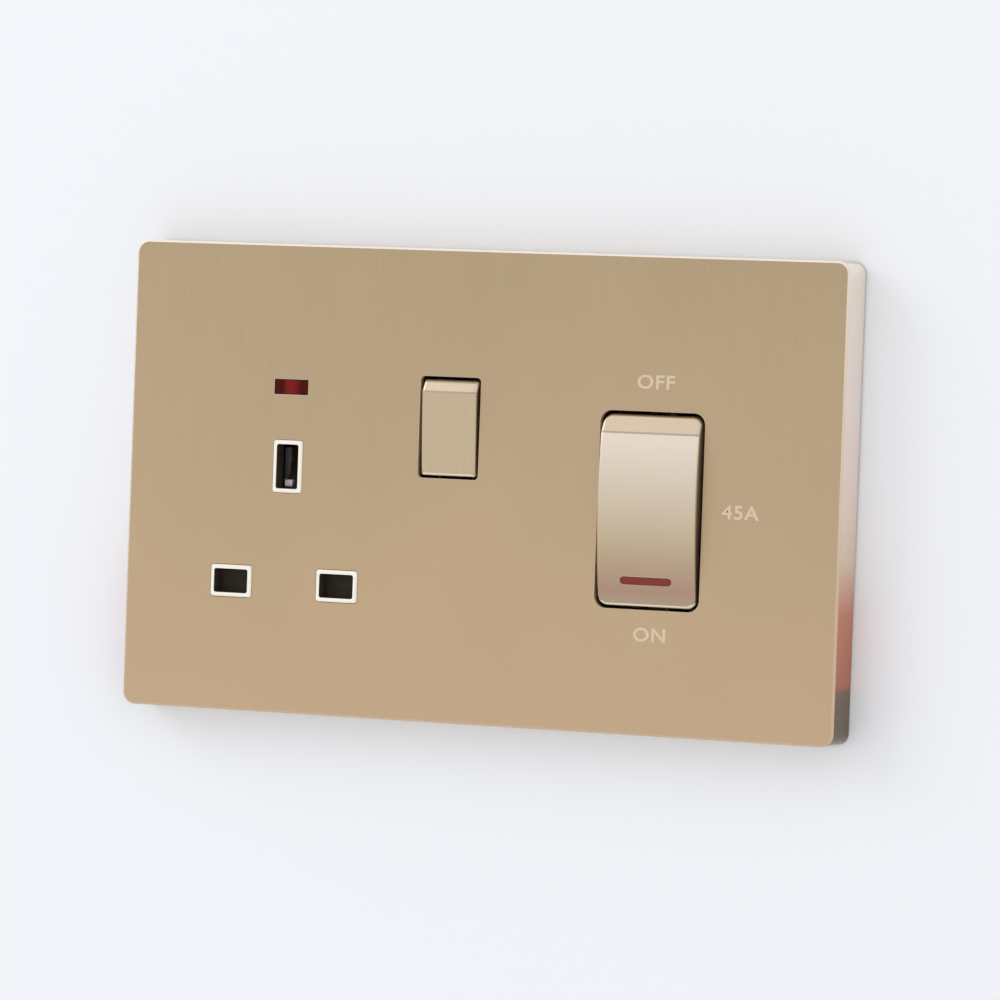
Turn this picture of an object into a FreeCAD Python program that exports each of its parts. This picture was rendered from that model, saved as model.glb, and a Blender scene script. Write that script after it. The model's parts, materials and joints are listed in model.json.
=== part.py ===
import FreeCAD, Part
import math
import os
import re

import Sketcher

# Cooker control unit: a switched 13 A socket and a 45 A double-pole switch on one clip-on plate.
# Frame: X to the viewer's right, Z up, front towards -Y, wall plane at Y = 0. The origin is midway
# between the two box fixings. "Forward" values below are distances ahead of the wall, along -Y.

os.makedirs("parts", exist_ok=True)
doc = FreeCAD.newDocument("CookerControlUnit")

# Driving dimensions, in millimetres and degrees
SIZES = {
    # Face plate
    "plate_height": 89.0,
    "plate_depth": 8.2,
    "sheet_thickness": 1.2,
    "skirt_thickness": 1.2,
    "corner_radius": 2.4,
    "edge_chamfer": 0.35,
    "window_fit": 0.1,
    "lip_length": 12.0,
    "lip_proud": 0.6,
    "lip_height": 0.9,
    "lip_from_wall": 0.7,
    "lip_spacing": 42.0,
    # Mounting frame
    "fixing_inset": 12.7,
    "fixing_radius": 1.9,
    "fixing_travel": 1.2,
    "frame_clearance": 0.9,
    "rim_thickness": 1.6,
    "web_thickness": 3.4,
    "rebate_depth": 1.6,
    "base_fit": 0.3,
    "hook_gap": 0.2,
    "hook_height": 1.2,
    # Base and carrier
    "lug_room": 4.3,
    "pole_bay": 16.9,
    "base_depth": 22.0,
    "base_wall": 2.0,
    "rear_chamfer": 1.2,
    "recess_width": 46.0,
    "recess_height": 24.0,
    "recess_depth": 0.5,
    "flange_margin": 2.0,
    "flange_play": 0.1,
    "notch_radius": 7.5,
    "carrier_wall": 1.6,
    "carrier_thickness": 1.8,
    "chamber_wall": 1.3,
    # Pin holes
    "pin_line_z": -19.9,
    "earth_rise": 22.2,
    "pin_half_pitch": 11.1,
    "slot_width": 7.0,
    "slot_height": 4.5,
    "earth_width": 4.5,
    "earth_height": 8.4,
    "aperture_radius": 0.4,
    "collar_radius": 0.6,
    "collar_wall": 0.8,
    "collar_proud": 0.25,
    "insert_flange": 1.2,
    "insert_ledge": 1.5,
    "insert_fit": 0.15,
    "insert_margin": 1.4,
    "insert_overhang": 0.3,
    # Shutter
    "shutter_thickness": 2.0,
    "shutter_clearance": 0.2,
    "shutter_lap": 0.65,
    "shutter_side": 1.2,
    "stem_width": 9.0,
    "spring_slot_width": 5.0,
    "spring_slot_top": -5.5,
    "spring_post": 1.5,
    "spring_foot_web": 1.5,
    "spring_post_width": 3.0,
    "spring_wire": 0.2,
    "spring_coil": 1.2,
    "spring_turns": 3.0,
    "cam_width": 4.1,
    "cam_height": 5.5,
    "cam_tail": 3.3,
    "cam_back": 3.8,
    # Neon
    "neon_offset": 0.2,
    "neon_z": 17.4,
    "lens_width": 6.9,
    "lens_height": 2.7,
    "lens_flange": 0.8,
    "lamp_radius": 1.8,
    "lamp_length": 9.0,
    "lamp_gap": 0.3,
    "cradle_pitch": 6.0,
    "resistor_radius": 1.2,
    "resistor_length": 6.4,
    "resistor_drop": 6.0,
    # Socket rocker
    "module_gap": 10.35,
    "small_z": 10.95,
    "small_window_width": 12.4,
    "small_window_height": 19.15,
    "small_window_radius": 0.8,
    "small_gap": 0.55,
    "small_pivot_drop": 4.0,
    "small_band": 2.3,
    "small_crest": 0.8,
    "small_top_drop": 0.4,
    "small_foot_drop": 0.1,
    "small_curve": 200.0,
    "small_tilt": 10.0,
    "small_skirt": 3.6,
    # Cooker rocker
    "main_flank": 10.4,
    "main_z": -2.8,
    "main_window_width": 21.0,
    "main_window_height": 36.75,
    "main_window_radius": 2.2,
    "main_gap": 0.6,
    "main_pivot_drop": 5.0,
    "main_band": 3.4,
    "main_crest": 1.4,
    "main_top_drop": 0.4,
    "main_foot_drop": 0.1,
    "main_curve": 106.0,
    "main_tilt": 8.0,
    "main_skirt": 4.4,
    "flag_width": 10.2,
    "flag_height": 1.4,
    "flag_rise": 5.375,
    "flag_depth": 0.9,
    # Common to both rockers
    "rocker_skin": 1.6,
    "well_gap": 0.2,
    "cheek": 1.5,
    "cheek_drop": 2.8,
    "ear_reach": 2.3,
    "flag_fit": 0.03,
    "trunnion_radius": 1.3,
    "trunnion_fit": 0.12,
    "trunnion_grip": 1.3,
    "bearing_mouth": 2.3,
    "boss_wall": 0.9,
    "plunger_fit": 0.1,
    # Switch mechanisms
    "small_boss_reach": 4.0,
    "small_plunger_radius": 1.3,
    "small_drop": 9.0,
    "small_arm": 7.5,
    "small_blade_width": 5.0,
    "small_blade": 1.0,
    "main_boss_reach": 5.5,
    "main_plunger_radius": 1.7,
    "main_drop": 12.0,
    "main_arm": 11.0,
    "main_blade_width": 7.0,
    "main_blade": 1.2,
    "pole_offset": 6.0,
    "tip_clearance": 0.3,
    "blade_ratio": 2.0,
    "button_half": 1.5,
    "button_height": 0.7,
    "button_inset": 0.36,
    "contact_gap": 0.12,
    "fulcrum_width": 3.0,
    "blade_notch": 0.5,
    "fulcrum_gap": 0.1,
    "strap": 1.0,
    # Terminals
    "terminal_width": 9.0,
    "terminal_length": 11.0,
    "terminal_depth": 11.0,
    "terminal_inset": 0.1,
    "terminal_bore": 3.0,
    "terminal_wall": 1.5,
    "bore_from_rear": 7.0,
    "entry_side": 7.8,
    "screw_radius": 2.0,
    "screw_fit": 0.05,
    "screw_length": 5.4,
    "access_side": 5.4,
    "earth_side": 2.45,
    "pole_side": 5.1,
    "earth_spacing": 8.0,
    # Pin contacts
    "leaf": 0.8,
    "leaf_throat": 3.4,
    "leaf_mouth": 6.2,
    "leaf_flare": 2.6,
    "live_contact_width": 6.0,
    "clip_play": 0.4,
    "earth_contact_height": 7.0,
    "live_contact_back": 12.0,
    "live_contact_front": -1.2,
    "earth_contact_front": 2.0,
    # Straps inside the base
    "strap_width": 5.0,
    "link_z": -12.5,
    "earth_strap_z": -8.0,
    "busbar_z": 20.0,
    "busbar_width": 4.2,
    "neutral_front": -4.0,
    "neutral_inset": 3.4,
    "neutral_foot_gap": 0.25,
    "seat_width": 4.0,
    # Assembly screws
    "left_post_inset": 5.0,
    "left_post_z": 14.5,
    "corner_post_inset": 4.5,
    "corner_post_drop": 3.0,
    "post_side": 5.8,
    "thread_radius": 1.25,
    "shank_radius": 1.35,
    "head_radius": 2.4,
    "head_height": 1.6,
    "thread_reach": 9.0,
    "pilot_spare": 1.0,
}

sheet = doc.addObject("Spreadsheet::Sheet", "Sizes")
for row, (alias, number) in enumerate(SIZES.items(), start=1):
    sheet.set(f"A{row}", alias)
    sheet.set(f"B{row}", str(number))
    sheet.setAlias(f"B{row}", alias)
doc.recompute()

# Places and sizes that follow from the driving dimensions
PLACES = {
    # From the switch gear outwards: base, box fixings and plate
    "small_from_socket": "insert_half + module_gap + small_window_width / 2",
    "main_from_small": "small_window_width / 2 + earth_side + earth_spacing + terminal_width"
                       " + pole_side + pole_offset + terminal_width / 2",
    "base_width": "insert_half - insert_overhang + small_from_socket + main_from_small"
                  " + main_window_width / 2 + main_flank",
    "base_height": "2 * (base_wall + terminal_inset + terminal_length + pole_bay)",
    "fixing_pitch": "base_width + 2 * lug_room",
    "plate_width": "fixing_pitch + 2 * fixing_inset",
    "socket_x": "insert_half - insert_overhang - base_width / 2",
    "small_x": "socket_x + small_from_socket",
    "main_x": "small_x + main_from_small",
    "neon_x": "socket_x + neon_offset",
    "earth_x": "small_x + small_window_width / 2 + earth_side + (earth_spacing + terminal_width) / 2",
    "left_post_x": "left_post_inset - base_width / 2",
    "corner_post_x": "base_width / 2 - corner_post_inset",
    "corner_post_z": "base_height / 2 - corner_post_drop",
    "neutral_top_z": "terminal_end - neutral_inset",
    "neutral_down_x": "earth_x - strap_width / 2",
    "neutral_foot_z": "base_wall + strap_width / 4 + neutral_foot_gap - base_height / 2",
    "sheet_back": "plate_depth - sheet_thickness",
    "carrier_back": "sheet_back - carrier_thickness",
    "base_floor": "base_wall - base_depth",
    "frame_width": "plate_width - 2 * skirt_thickness - 2 * frame_clearance",
    "frame_height": "plate_height - 2 * skirt_thickness - 2 * frame_clearance",
    # Pin holes and shutter
    "earth_z": "pin_line_z + earth_rise",
    "live_x": "socket_x - pin_half_pitch",
    "neutral_x": "socket_x + pin_half_pitch",
    "insert_half": "pin_half_pitch + slot_width / 2 + collar_wall + insert_margin",
    "insert_foot": "pin_line_z - slot_height / 2 - collar_wall - insert_margin",
    "insert_top": "earth_z + earth_height / 2 + collar_wall + insert_margin",
    "insert_z": "(insert_foot + insert_top) / 2",
    "shutter_front": "carrier_back - shutter_clearance",
    "shutter_back": "shutter_front - shutter_thickness",
    "chamber_top": "shutter_back - shutter_clearance",
    "cover_half": "pin_half_pitch + slot_width / 2 + shutter_side",
    "cover_top": "pin_line_z + slot_height / 2 + shutter_lap",
    "cover_foot": "pin_line_z - slot_height / 2 - shutter_lap",
    "aperture_foot": "earth_z - earth_height / 2",
    "stem_top": "aperture_foot - shutter_clearance",
    "slot_foot": "cover_top + spring_foot_web",
    "post_foot": "slot_foot + shutter_clearance",
    "post_top": "post_foot + spring_post",
    "spring_reach": "spring_coil + spring_wire",
    "spring_line": "shutter_front - spring_reach + shutter_clearance / 2",
    # Rockers and their switches
    "small_pivot": "plate_depth - small_pivot_drop",
    "main_pivot": "plate_depth - main_pivot_drop",
    "flag_z": "flag_rise - main_window_height / 2",
    "small_fulcrum": "small_pivot - small_drop - tip_clearance - small_blade",
    "main_fulcrum": "main_pivot - main_drop - tip_clearance - main_blade",
    "small_well_back": "small_pivot - cheek_drop",
    "main_well_back": "main_pivot - cheek_drop",
    "small_swing": "blade_ratio * small_tilt / 2",
    "main_swing": "blade_ratio * main_tilt / 2",
    "small_button_z": "small_arm - button_half - button_inset",
    "main_button_z": "main_arm - button_half - button_inset",
    "small_touch": "small_fulcrum - (small_button_z + button_half) * sin(small_swing)"
                   " - button_height * cos(small_swing) - contact_gap",
    "main_touch": "main_fulcrum - (main_button_z + button_half) * sin(main_swing)"
                  " - button_height * cos(main_swing) - contact_gap",
    "small_strap": "small_touch - button_height",
    "main_strap": "main_touch - button_height",
    "left_pole": "main_x - pole_offset",
    "right_pole": "main_x + pole_offset",
    # Terminals
    "terminal_front": "base_floor + terminal_depth",
    "terminal_end": "base_height / 2 - base_wall - terminal_inset",
    "terminal_root": "terminal_end - terminal_length",
    "terminal_middle": "(terminal_root + terminal_end) / 2",
    "bore_line": "base_floor + bore_from_rear",
    "lamp_line": "carrier_back - lens_flange - lamp_gap - lamp_radius",
    "resistor_line": "lamp_line - resistor_drop",
    "barrier_top": "main_well_back - well_gap - main_skirt / 2",
}
SPRING_RUNS = 8
SPRING_SIDES = 4
TOKEN = re.compile(r"[a-z][a-z_0-9]*")
FUNCTIONS = ("sin", "cos", "sqrt")


def bound(text):
    """Turns plain names into references to the sheet, opening up the named places."""
    def link(match):
        word = match.group(0)
        if word in SIZES:
            return f"Sizes.{word}"
        if word in PLACES:
            return f"({bound(PLACES[word])})"
        if word in FUNCTIONS:
            return word
        raise KeyError(f"unknown size {word}")
    return TOKEN.sub(link, text)


def size(text):
    """The present value of a formula, in millimetres or degrees."""
    return float(sheet.evalExpression(bound(text)))


def new_body(label):
    """A body for one sub-part, named after its file."""
    body = doc.addObject("PartDesign::Body", label)
    body.Label = label
    return body


def sketch(body, name, plane, offset="0", tilt=None):
    """A sketch on one of the body's own origin planes, moved out along the plane's normal."""
    drawing = body.newObject("Sketcher::SketchObject", name)
    origin_plane = [item for item in body.Origin.OriginFeatures if item.Role == f"{plane}_Plane"][0]
    drawing.AttachmentSupport = [(origin_plane, "")]
    drawing.MapMode = "FlatFace"
    if tilt:
        turn = FreeCAD.Rotation(FreeCAD.Vector(1, 0, 0), size(tilt))
        drawing.AttachmentOffset = FreeCAD.Placement(FreeCAD.Vector(), turn)
        drawing.setExpression("AttachmentOffset.Rotation.Angle", bound(tilt))
    if offset != "0":
        drawing.setExpression("AttachmentOffset.Base.z", bound(offset))
    return drawing


def fix(drawing, kind, *where):
    """Adds a dimension bound to a formula, the last argument."""
    formula = where[-1]
    number = drawing.addConstraint(Sketcher.Constraint(kind, *where[:-1], size(formula)))
    drawing.setExpression(f"Constraints[{number}]", bound(formula))


def place_point(drawing, geometry, end, across, up):
    """Holds a point at a place measured from the sketch's origin."""
    fix(drawing, "DistanceX", -1, 1, geometry, end, across)
    fix(drawing, "DistanceY", -1, 1, geometry, end, up)


def polygon(drawing, corners, bulge=None):
    """A closed outline through corners; bulge gives the radius of an arc that leaves a corner."""
    bulge = bulge or {}
    points = [FreeCAD.Vector(size(across), size(up), 0) for across, up in corners]
    edges = []
    for index, start in enumerate(points):
        finish = points[(index + 1) % len(points)]
        if index in bulge:
            chord = finish - start
            radius = size(bulge[index])
            rise = radius - math.sqrt(radius ** 2 - (chord.Length / 2) ** 2)
            outward = FreeCAD.Vector(chord.y, -chord.x, 0).normalize()
            middle = (start + finish) / 2 + outward * rise
            edges.append(drawing.addGeometry(Part.Arc(start, middle, finish), False))
            fix(drawing, "Radius", edges[-1], bulge[index])
        else:
            edges.append(drawing.addGeometry(Part.LineSegment(start, finish), False))
    ends = []
    for index, edge in enumerate(edges):
        near = (drawing.getPoint(edge, 1) - points[index]).Length < 1e-4
        ends.append((1, 2) if near else (2, 1))
    for index, edge in enumerate(edges):
        follower = (index + 1) % len(edges)
        link = Sketcher.Constraint("Coincident", edge, ends[index][1], edges[follower], ends[follower][0])
        drawing.addConstraint(link)
    for index, (across, up) in enumerate(corners):
        place_point(drawing, edges[index], ends[index][0], across, up)


def box_outline(drawing, left, right, foot, top):
    """A plain rectangle between four formulas."""
    polygon(drawing, [(left, foot), (right, foot), (right, top), (left, top)])


def centred_box(drawing, across, up, width, height):
    """A plain rectangle about a centre."""
    half_width, half_height = f"({width}) / 2", f"({height}) / 2"
    box_outline(drawing, f"({across}) - {half_width}", f"({across}) + {half_width}",
                f"({up}) - {half_height}", f"({up}) + {half_height}")


def round_box(drawing, across, up, width, height, radius):
    """A rectangle about a centre with its four corners rounded."""
    x, z, r = size(across), size(up), size(radius)
    right, top = size(width) / 2, size(height) / 2
    corners = [(1, -1, 270), (1, 1, 0), (-1, 1, 90), (-1, -1, 180)]
    arcs = []
    for sign_x, sign_z, start in corners:
        centre = FreeCAD.Vector(x + sign_x * (right - r), z + sign_z * (top - r), 0)
        ring = Part.Circle(centre, FreeCAD.Vector(0, 0, 1), r)
        arc = Part.ArcOfCircle(ring, math.radians(start), math.radians(start + 90))
        arcs.append(drawing.addGeometry(arc, False))
    lines = []
    for index, arc in enumerate(arcs):
        follower = arcs[(index + 1) % 4]
        start, finish = drawing.getPoint(arc, 2), drawing.getPoint(follower, 1)
        line = drawing.addGeometry(Part.LineSegment(start, finish), False)
        lines.append(line)
        drawing.addConstraint(Sketcher.Constraint("Tangent", arc, 2, line, 1))
        drawing.addConstraint(Sketcher.Constraint("Tangent", line, 2, follower, 1))
    for index in (0, 2):
        drawing.addConstraint(Sketcher.Constraint("Vertical", lines[index]))
        drawing.addConstraint(Sketcher.Constraint("Horizontal", lines[index + 1]))
    for arc in arcs[1:]:
        drawing.addConstraint(Sketcher.Constraint("Equal", arcs[0], arc))
    fix(drawing, "Radius", arcs[0], radius)
    fix(drawing, "DistanceX", -1, 1, lines[0], 1, f"({across}) + ({width}) / 2")
    fix(drawing, "DistanceX", -1, 1, lines[2], 1, f"({across}) - ({width}) / 2")
    fix(drawing, "DistanceY", -1, 1, lines[1], 1, f"({up}) + ({height}) / 2")
    fix(drawing, "DistanceY", -1, 1, lines[3], 1, f"({up}) - ({height}) / 2")


def disc(drawing, across, up, radius):
    """A circle about a centre."""
    centre = FreeCAD.Vector(size(across), size(up), 0)
    ring = drawing.addGeometry(Part.Circle(centre, FreeCAD.Vector(0, 0, 1), size(radius)), False)
    fix(drawing, "Radius", ring, radius)
    place_point(drawing, ring, 3, across, up)


def obround(drawing, across, up, travel, radius):
    """A slot along X: two half circles whose centres lie one travel either side of the middle."""
    x, z, r = size(across), size(up), size(radius)
    arcs = []
    for side, start in ((1, -90), (-1, 90)):
        centre = FreeCAD.Vector(x + side * size(travel), z, 0)
        ring = Part.Circle(centre, FreeCAD.Vector(0, 0, 1), r)
        arc = Part.ArcOfCircle(ring, math.radians(start), math.radians(start + 180))
        arcs.append(drawing.addGeometry(arc, False))
    for arc, follower in ((arcs[0], arcs[1]), (arcs[1], arcs[0])):
        start, finish = drawing.getPoint(arc, 2), drawing.getPoint(follower, 1)
        line = drawing.addGeometry(Part.LineSegment(start, finish), False)
        drawing.addConstraint(Sketcher.Constraint("Tangent", arc, 2, line, 1))
        drawing.addConstraint(Sketcher.Constraint("Tangent", line, 2, follower, 1))
    fix(drawing, "Radius", arcs[0], radius)
    place_point(drawing, arcs[0], 3, f"({across}) + {travel}", up)
    place_point(drawing, arcs[1], 3, f"({across}) - {travel}", up)


def notched_outline(drawing, grow):
    """The base's outline grown by a formula, with a round notch at each box fixing."""
    half_width = f"base_width / 2 + ({grow})"
    half_height = f"base_height / 2 + ({grow})"
    notch = f"notch_radius - ({grow})"
    depth = f"fixing_pitch / 2 - ({half_width})"
    meet = f"sqrt(({notch}) * ({notch}) - ({depth}) * ({depth}))"
    corners = [(f"0 - ({half_width})", f"0 - ({half_height})"), (half_width, f"0 - ({half_height})"),
               (half_width, f"0 - {meet}"), (half_width, meet), (half_width, half_height),
               (f"0 - ({half_width})", half_height), (f"0 - ({half_width})", meet),
               (f"0 - ({half_width})", f"0 - {meet}")]
    points = [FreeCAD.Vector(size(across), size(up), 0) for across, up in corners]
    edges, ends = [], []
    for index, start in enumerate(points):
        finish = points[(index + 1) % len(points)]
        if index in (2, 6):
            side = 1 if index == 2 else -1
            middle = FreeCAD.Vector(side * (size("fixing_pitch / 2") - size(notch)), 0, 0)
            edges.append(drawing.addGeometry(Part.Arc(start, middle, finish), False))
        else:
            edges.append(drawing.addGeometry(Part.LineSegment(start, finish), False))
        near = (drawing.getPoint(edges[-1], 1) - start).Length < 1e-4
        ends.append((1, 2) if near else (2, 1))
    for index, edge in enumerate(edges):
        follower = (index + 1) % len(edges)
        link = Sketcher.Constraint("Coincident", edge, ends[index][1], edges[follower], ends[follower][0])
        drawing.addConstraint(link)
    for index, (across, up) in enumerate(corners):
        if index in (2, 3, 6, 7):
            fix(drawing, "DistanceX", -1, 1, edges[index], ends[index][0], across)
        else:
            place_point(drawing, edges[index], ends[index][0], across, up)
    for index, side in ((2, "fixing_pitch / 2"), (6, "0 - fixing_pitch / 2")):
        fix(drawing, "Radius", edges[index], notch)
        place_point(drawing, edges[index], 3, side, "0")


def pad(body, name, drawing, length, backward=False, both_ways=False):
    """Adds material along the sketch's normal, or against it."""
    feature = body.newObject("PartDesign::Pad", name)
    feature.Profile = drawing
    feature.Reversed = backward
    feature.Midplane = both_ways
    feature.setExpression("Length", bound(length))
    drawing.Visibility = False
    return feature


def pocket(body, name, drawing, length, forward=False, both_ways=False):
    """Cuts material against the sketch's normal, or along it, and checks that it cut."""
    doc.recompute()
    before = body.Shape.Volume
    feature = body.newObject("PartDesign::Pocket", name)
    feature.Profile = drawing
    feature.Reversed = forward
    feature.Midplane = both_ways
    feature.setExpression("Length", bound(length))
    doc.recompute()
    if feature.Shape.isNull() or feature.Shape.Volume > before - 1e-6:
        raise RuntimeError(f"{body.Label}: {name} cuts nothing")
    drawing.Visibility = False
    return feature


def dress(body, kind, name, width, choose):
    """Rounds or bevels the edges of the body's last feature that choose accepts."""
    doc.recompute()
    last = body.Tip
    names = [f"Edge{number}" for number, edge in enumerate(last.Shape.Edges, start=1) if choose(edge)]
    if not names:
        raise RuntimeError(f"{body.Label}: {name} finds no edge")
    feature = body.newObject(f"PartDesign::{kind}", name)
    feature.Base = (last, names)
    feature.setExpression("Radius" if kind == "Fillet" else "Size", bound(width))
    return feature


def along(edge, axis):
    """True for a straight edge along X, Y or Z."""
    if not isinstance(edge.Curve, Part.Line):
        return False
    direction = edge.Curve.Direction
    return abs(abs(getattr(direction, axis)) - 1) < 1e-6


def at_depth(edge, forward):
    """True for an edge that lies in the plane at this distance ahead of the wall."""
    box = edge.BoundBox
    return abs(box.YMin + forward) < 1e-4 and abs(box.YMax + forward) < 1e-4


def put(body, across="0", forward="0", up="0", turn=None):
    """Moves a body that is drawn about its own pivot to its place."""
    if turn:
        spin = FreeCAD.Rotation(FreeCAD.Vector(1, 0, 0), size(turn))
        body.Placement = FreeCAD.Placement(FreeCAD.Vector(), spin)
        body.setExpression("Placement.Rotation.Angle", bound(turn))
    body.setExpression("Placement.Base.x", bound(across))
    body.setExpression("Placement.Base.y", bound(f"0 - ({forward})"))
    body.setExpression("Placement.Base.z", bound(up))


POSTS = [("left_post_x", "left_post_z"), ("corner_post_x", "corner_post_z"),
         ("corner_post_x", "0 - corner_post_z")]
CLAMP_SCREWS = [("left_pole", ("", "0 - ")), ("right_pole", ("", "0 - ")),
                 ("earth_x - earth_spacing / 2", ("0 - ",)), ("earth_x + earth_spacing / 2", ("0 - ",))]
PIN_HOLES = {
    "live": ("live_x", "pin_line_z", "slot_width", "slot_height"),
    "neutral": ("neutral_x", "pin_line_z", "slot_width", "slot_height"),
    "earth": ("socket_x", "earth_z", "earth_width", "earth_height"),
}
LIP_PLACES = ("0 - lip_spacing", "0", "lip_spacing")


def make_face_plate():
    """Pressed metal plate: a shallow pan with windows, held by lips inside its skirt."""
    body = new_body("face_plate")
    outline = sketch(body, "PlateOutline", "XZ")
    round_box(outline, "0", "0", "plate_width", "plate_height", "corner_radius")
    pad(body, "PlateBlock", outline, "plate_depth")
    inside = sketch(body, "PanInside", "XZ")
    round_box(inside, "0", "0", "plate_width - 2 * skirt_thickness", "plate_height - 2 * skirt_thickness",
              "corner_radius - skirt_thickness")
    pocket(body, "Pan", inside, "sheet_back", forward=True)
    windows = sketch(body, "WindowOutlines", "XZ", "plate_depth")
    for across, up, width, height in PIN_HOLES.values():
        round_box(windows, across, up, f"{width} + 2 * collar_wall + 2 * window_fit",
                  f"{height} + 2 * collar_wall + 2 * window_fit", "collar_radius + window_fit")
    centred_box(windows, "neon_x", "neon_z", "lens_width + 2 * window_fit",
                "lens_height + 2 * window_fit")
    round_box(windows, "small_x", "small_z", "small_window_width", "small_window_height",
              "small_window_radius")
    round_box(windows, "main_x", "main_z", "main_window_width", "main_window_height", "main_window_radius")
    pocket(body, "Windows", windows, "sheet_thickness")
    lips = sketch(body, "LipOutlines", "XZ", "lip_from_wall")
    inner = "(plate_height / 2 - skirt_thickness)"
    for across in LIP_PLACES:
        left, right = f"{across} - lip_length / 2", f"{across} + lip_length / 2"
        box_outline(lips, left, right, f"{inner} - lip_proud", f"{inner} + skirt_thickness / 2")
        box_outline(lips, left, right, f"0 - {inner} - skirt_thickness / 2", f"lip_proud - {inner}")
    pad(body, "Lips", lips, "lip_height")
    reach_x = size("plate_width / 2 - corner_radius") - 1e-3
    reach_z = size("plate_height / 2 - corner_radius") - 1e-3
    front = size("plate_depth")

    def on_rim(edge):
        middle = edge.BoundBox.Center
        return at_depth(edge, front) and (abs(middle.x) > reach_x or abs(middle.z) > reach_z)

    dress(body, "Chamfer", "PolishedEdge", "edge_chamfer", on_rim)
    return body


def make_mounting_frame():
    """Moulded frame that is screwed to the box; the plate snaps over its hooks."""
    body = new_body("mounting_frame")
    outline = sketch(body, "FrameOutline", "XZ")
    centred_box(outline, "0", "0", "frame_width", "frame_height")
    pad(body, "FrameBlock", outline, "sheet_back")
    tray = sketch(body, "TrayOutline", "XZ", "sheet_back")
    centred_box(tray, "0", "0", "frame_width - 2 * rim_thickness", "frame_height - 2 * rim_thickness")
    pocket(body, "Tray", tray, "sheet_back - web_thickness")
    opening = sketch(body, "OpeningOutline", "XZ", "web_thickness")
    notched_outline(opening, "base_fit")
    pocket(body, "Opening", opening, "web_thickness")
    rebate = sketch(body, "RebateOutline", "XZ")
    notched_outline(rebate, "flange_margin + flange_play * 2")
    pocket(body, "Rebate", rebate, "rebate_depth", forward=True)
    slots = sketch(body, "FixingSlots", "XZ", "web_thickness")
    for side in ("0 - fixing_pitch / 2", "fixing_pitch / 2"):
        obround(slots, side, "0", "fixing_travel", "fixing_radius")
    pocket(body, "Slots", slots, "web_thickness")
    hooks = sketch(body, "HookOutlines", "XZ", "lip_from_wall + lip_height + hook_gap")
    edge = "(frame_height / 2)"
    reach = "(frame_clearance - hook_gap)"
    for across in LIP_PLACES:
        left, right = f"{across} - lip_length / 2", f"{across} + lip_length / 2"
        box_outline(hooks, left, right, f"{edge} - rim_thickness / 2", f"{edge} + {reach}")
        box_outline(hooks, left, right, f"0 - {edge} - {reach}", f"rim_thickness / 2 - {edge}")
    pad(body, "Hooks", hooks, "hook_height")
    return body


def make_front_moulding():
    """Black carrier: rocker wells with bearings, neon hole, seat of the pin insert, screw bosses."""
    body = new_body("front_moulding")
    outline = sketch(body, "CarrierOutline", "XZ", "web_thickness")
    notched_outline(outline, "flange_margin")
    pad(body, "CarrierBlock", outline, "sheet_back - web_thickness")
    hollow = sketch(body, "HollowOutline", "XZ", "web_thickness")
    notched_outline(hollow, "flange_margin - carrier_wall")
    pocket(body, "Hollow", hollow, "carrier_back - web_thickness", forward=True)
    for kind in ("small", "main"):
        ring = sketch(body, f"{kind.title()}WellOutline", "XZ", f"{kind}_well_back")
        centred_box(ring, f"{kind}_x", f"{kind}_z", f"{kind}_window_width + 2 * (well_gap + cheek)",
                    f"{kind}_window_height + 2 * (well_gap + cheek)")
        pad(body, f"{kind.title()}Well", ring, f"carrier_back - {kind}_well_back")
    bosses = sketch(body, "BossOutlines", "XZ", "carrier_back")
    for across, up in POSTS:
        centred_box(bosses, across, up, "post_side", "post_side")
    pad(body, "Bosses", bosses, "carrier_back - chamber_top", backward=True)
    openings = sketch(body, "OpeningOutlines", "XZ", "sheet_back")
    for kind in ("small", "main"):
        round_box(openings, f"{kind}_x", f"{kind}_z", f"{kind}_window_width + 2 * well_gap",
                  f"{kind}_window_height + 2 * well_gap", f"{kind}_window_radius")
    centred_box(openings, "neon_x", "neon_z", "lens_width + 2 * window_fit",
                "lens_height + 2 * window_fit")
    centred_box(openings, "socket_x", "insert_z", "2 * (insert_half - insert_ledge + insert_fit)",
                "insert_top - insert_foot - 2 * (insert_ledge - insert_fit)")
    for across, up in POSTS:
        disc(openings, across, up, "shank_radius + window_fit")
    pocket(body, "Openings", openings, "sheet_back - small_well_back + cheek_drop")
    seat = sketch(body, "InsertSeat", "XZ", "sheet_back")
    centred_box(seat, "socket_x", "insert_z", "2 * (insert_half + insert_fit)",
                "insert_top - insert_foot + 2 * insert_fit")
    pocket(body, "Seat", seat, "insert_flange")
    sinks = sketch(body, "ScrewSinks", "XZ", "sheet_back")
    sink_side = "2 * (head_radius + window_fit)"
    for across, up in POSTS:
        centred_box(sinks, across, up, sink_side, sink_side)
    pocket(body, "Sinks", sinks, "head_height + flange_play")
    for kind in ("small", "main"):
        bearing = sketch(body, f"{kind.title()}Bearing", "YZ", f"{kind}_x")
        disc(bearing, f"0 - {kind}_pivot", f"{kind}_z", "trunnion_radius + trunnion_fit")
        reach = f"{kind}_window_width + 2 * well_gap + 2 * cheek + well_gap"
        pocket(body, f"{kind.title()}BearingHole", bearing, reach, both_ways=True)
        mouth = sketch(body, f"{kind.title()}Mouth", "YZ", f"{kind}_x")
        box_outline(mouth, f"0 - {kind}_pivot", f"2 * cheek_drop - {kind}_pivot",
                    f"{kind}_z - bearing_mouth / 2", f"{kind}_z + bearing_mouth / 2")
        pocket(body, f"{kind.title()}BearingMouth", mouth, reach, both_ways=True)
    return body


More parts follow.
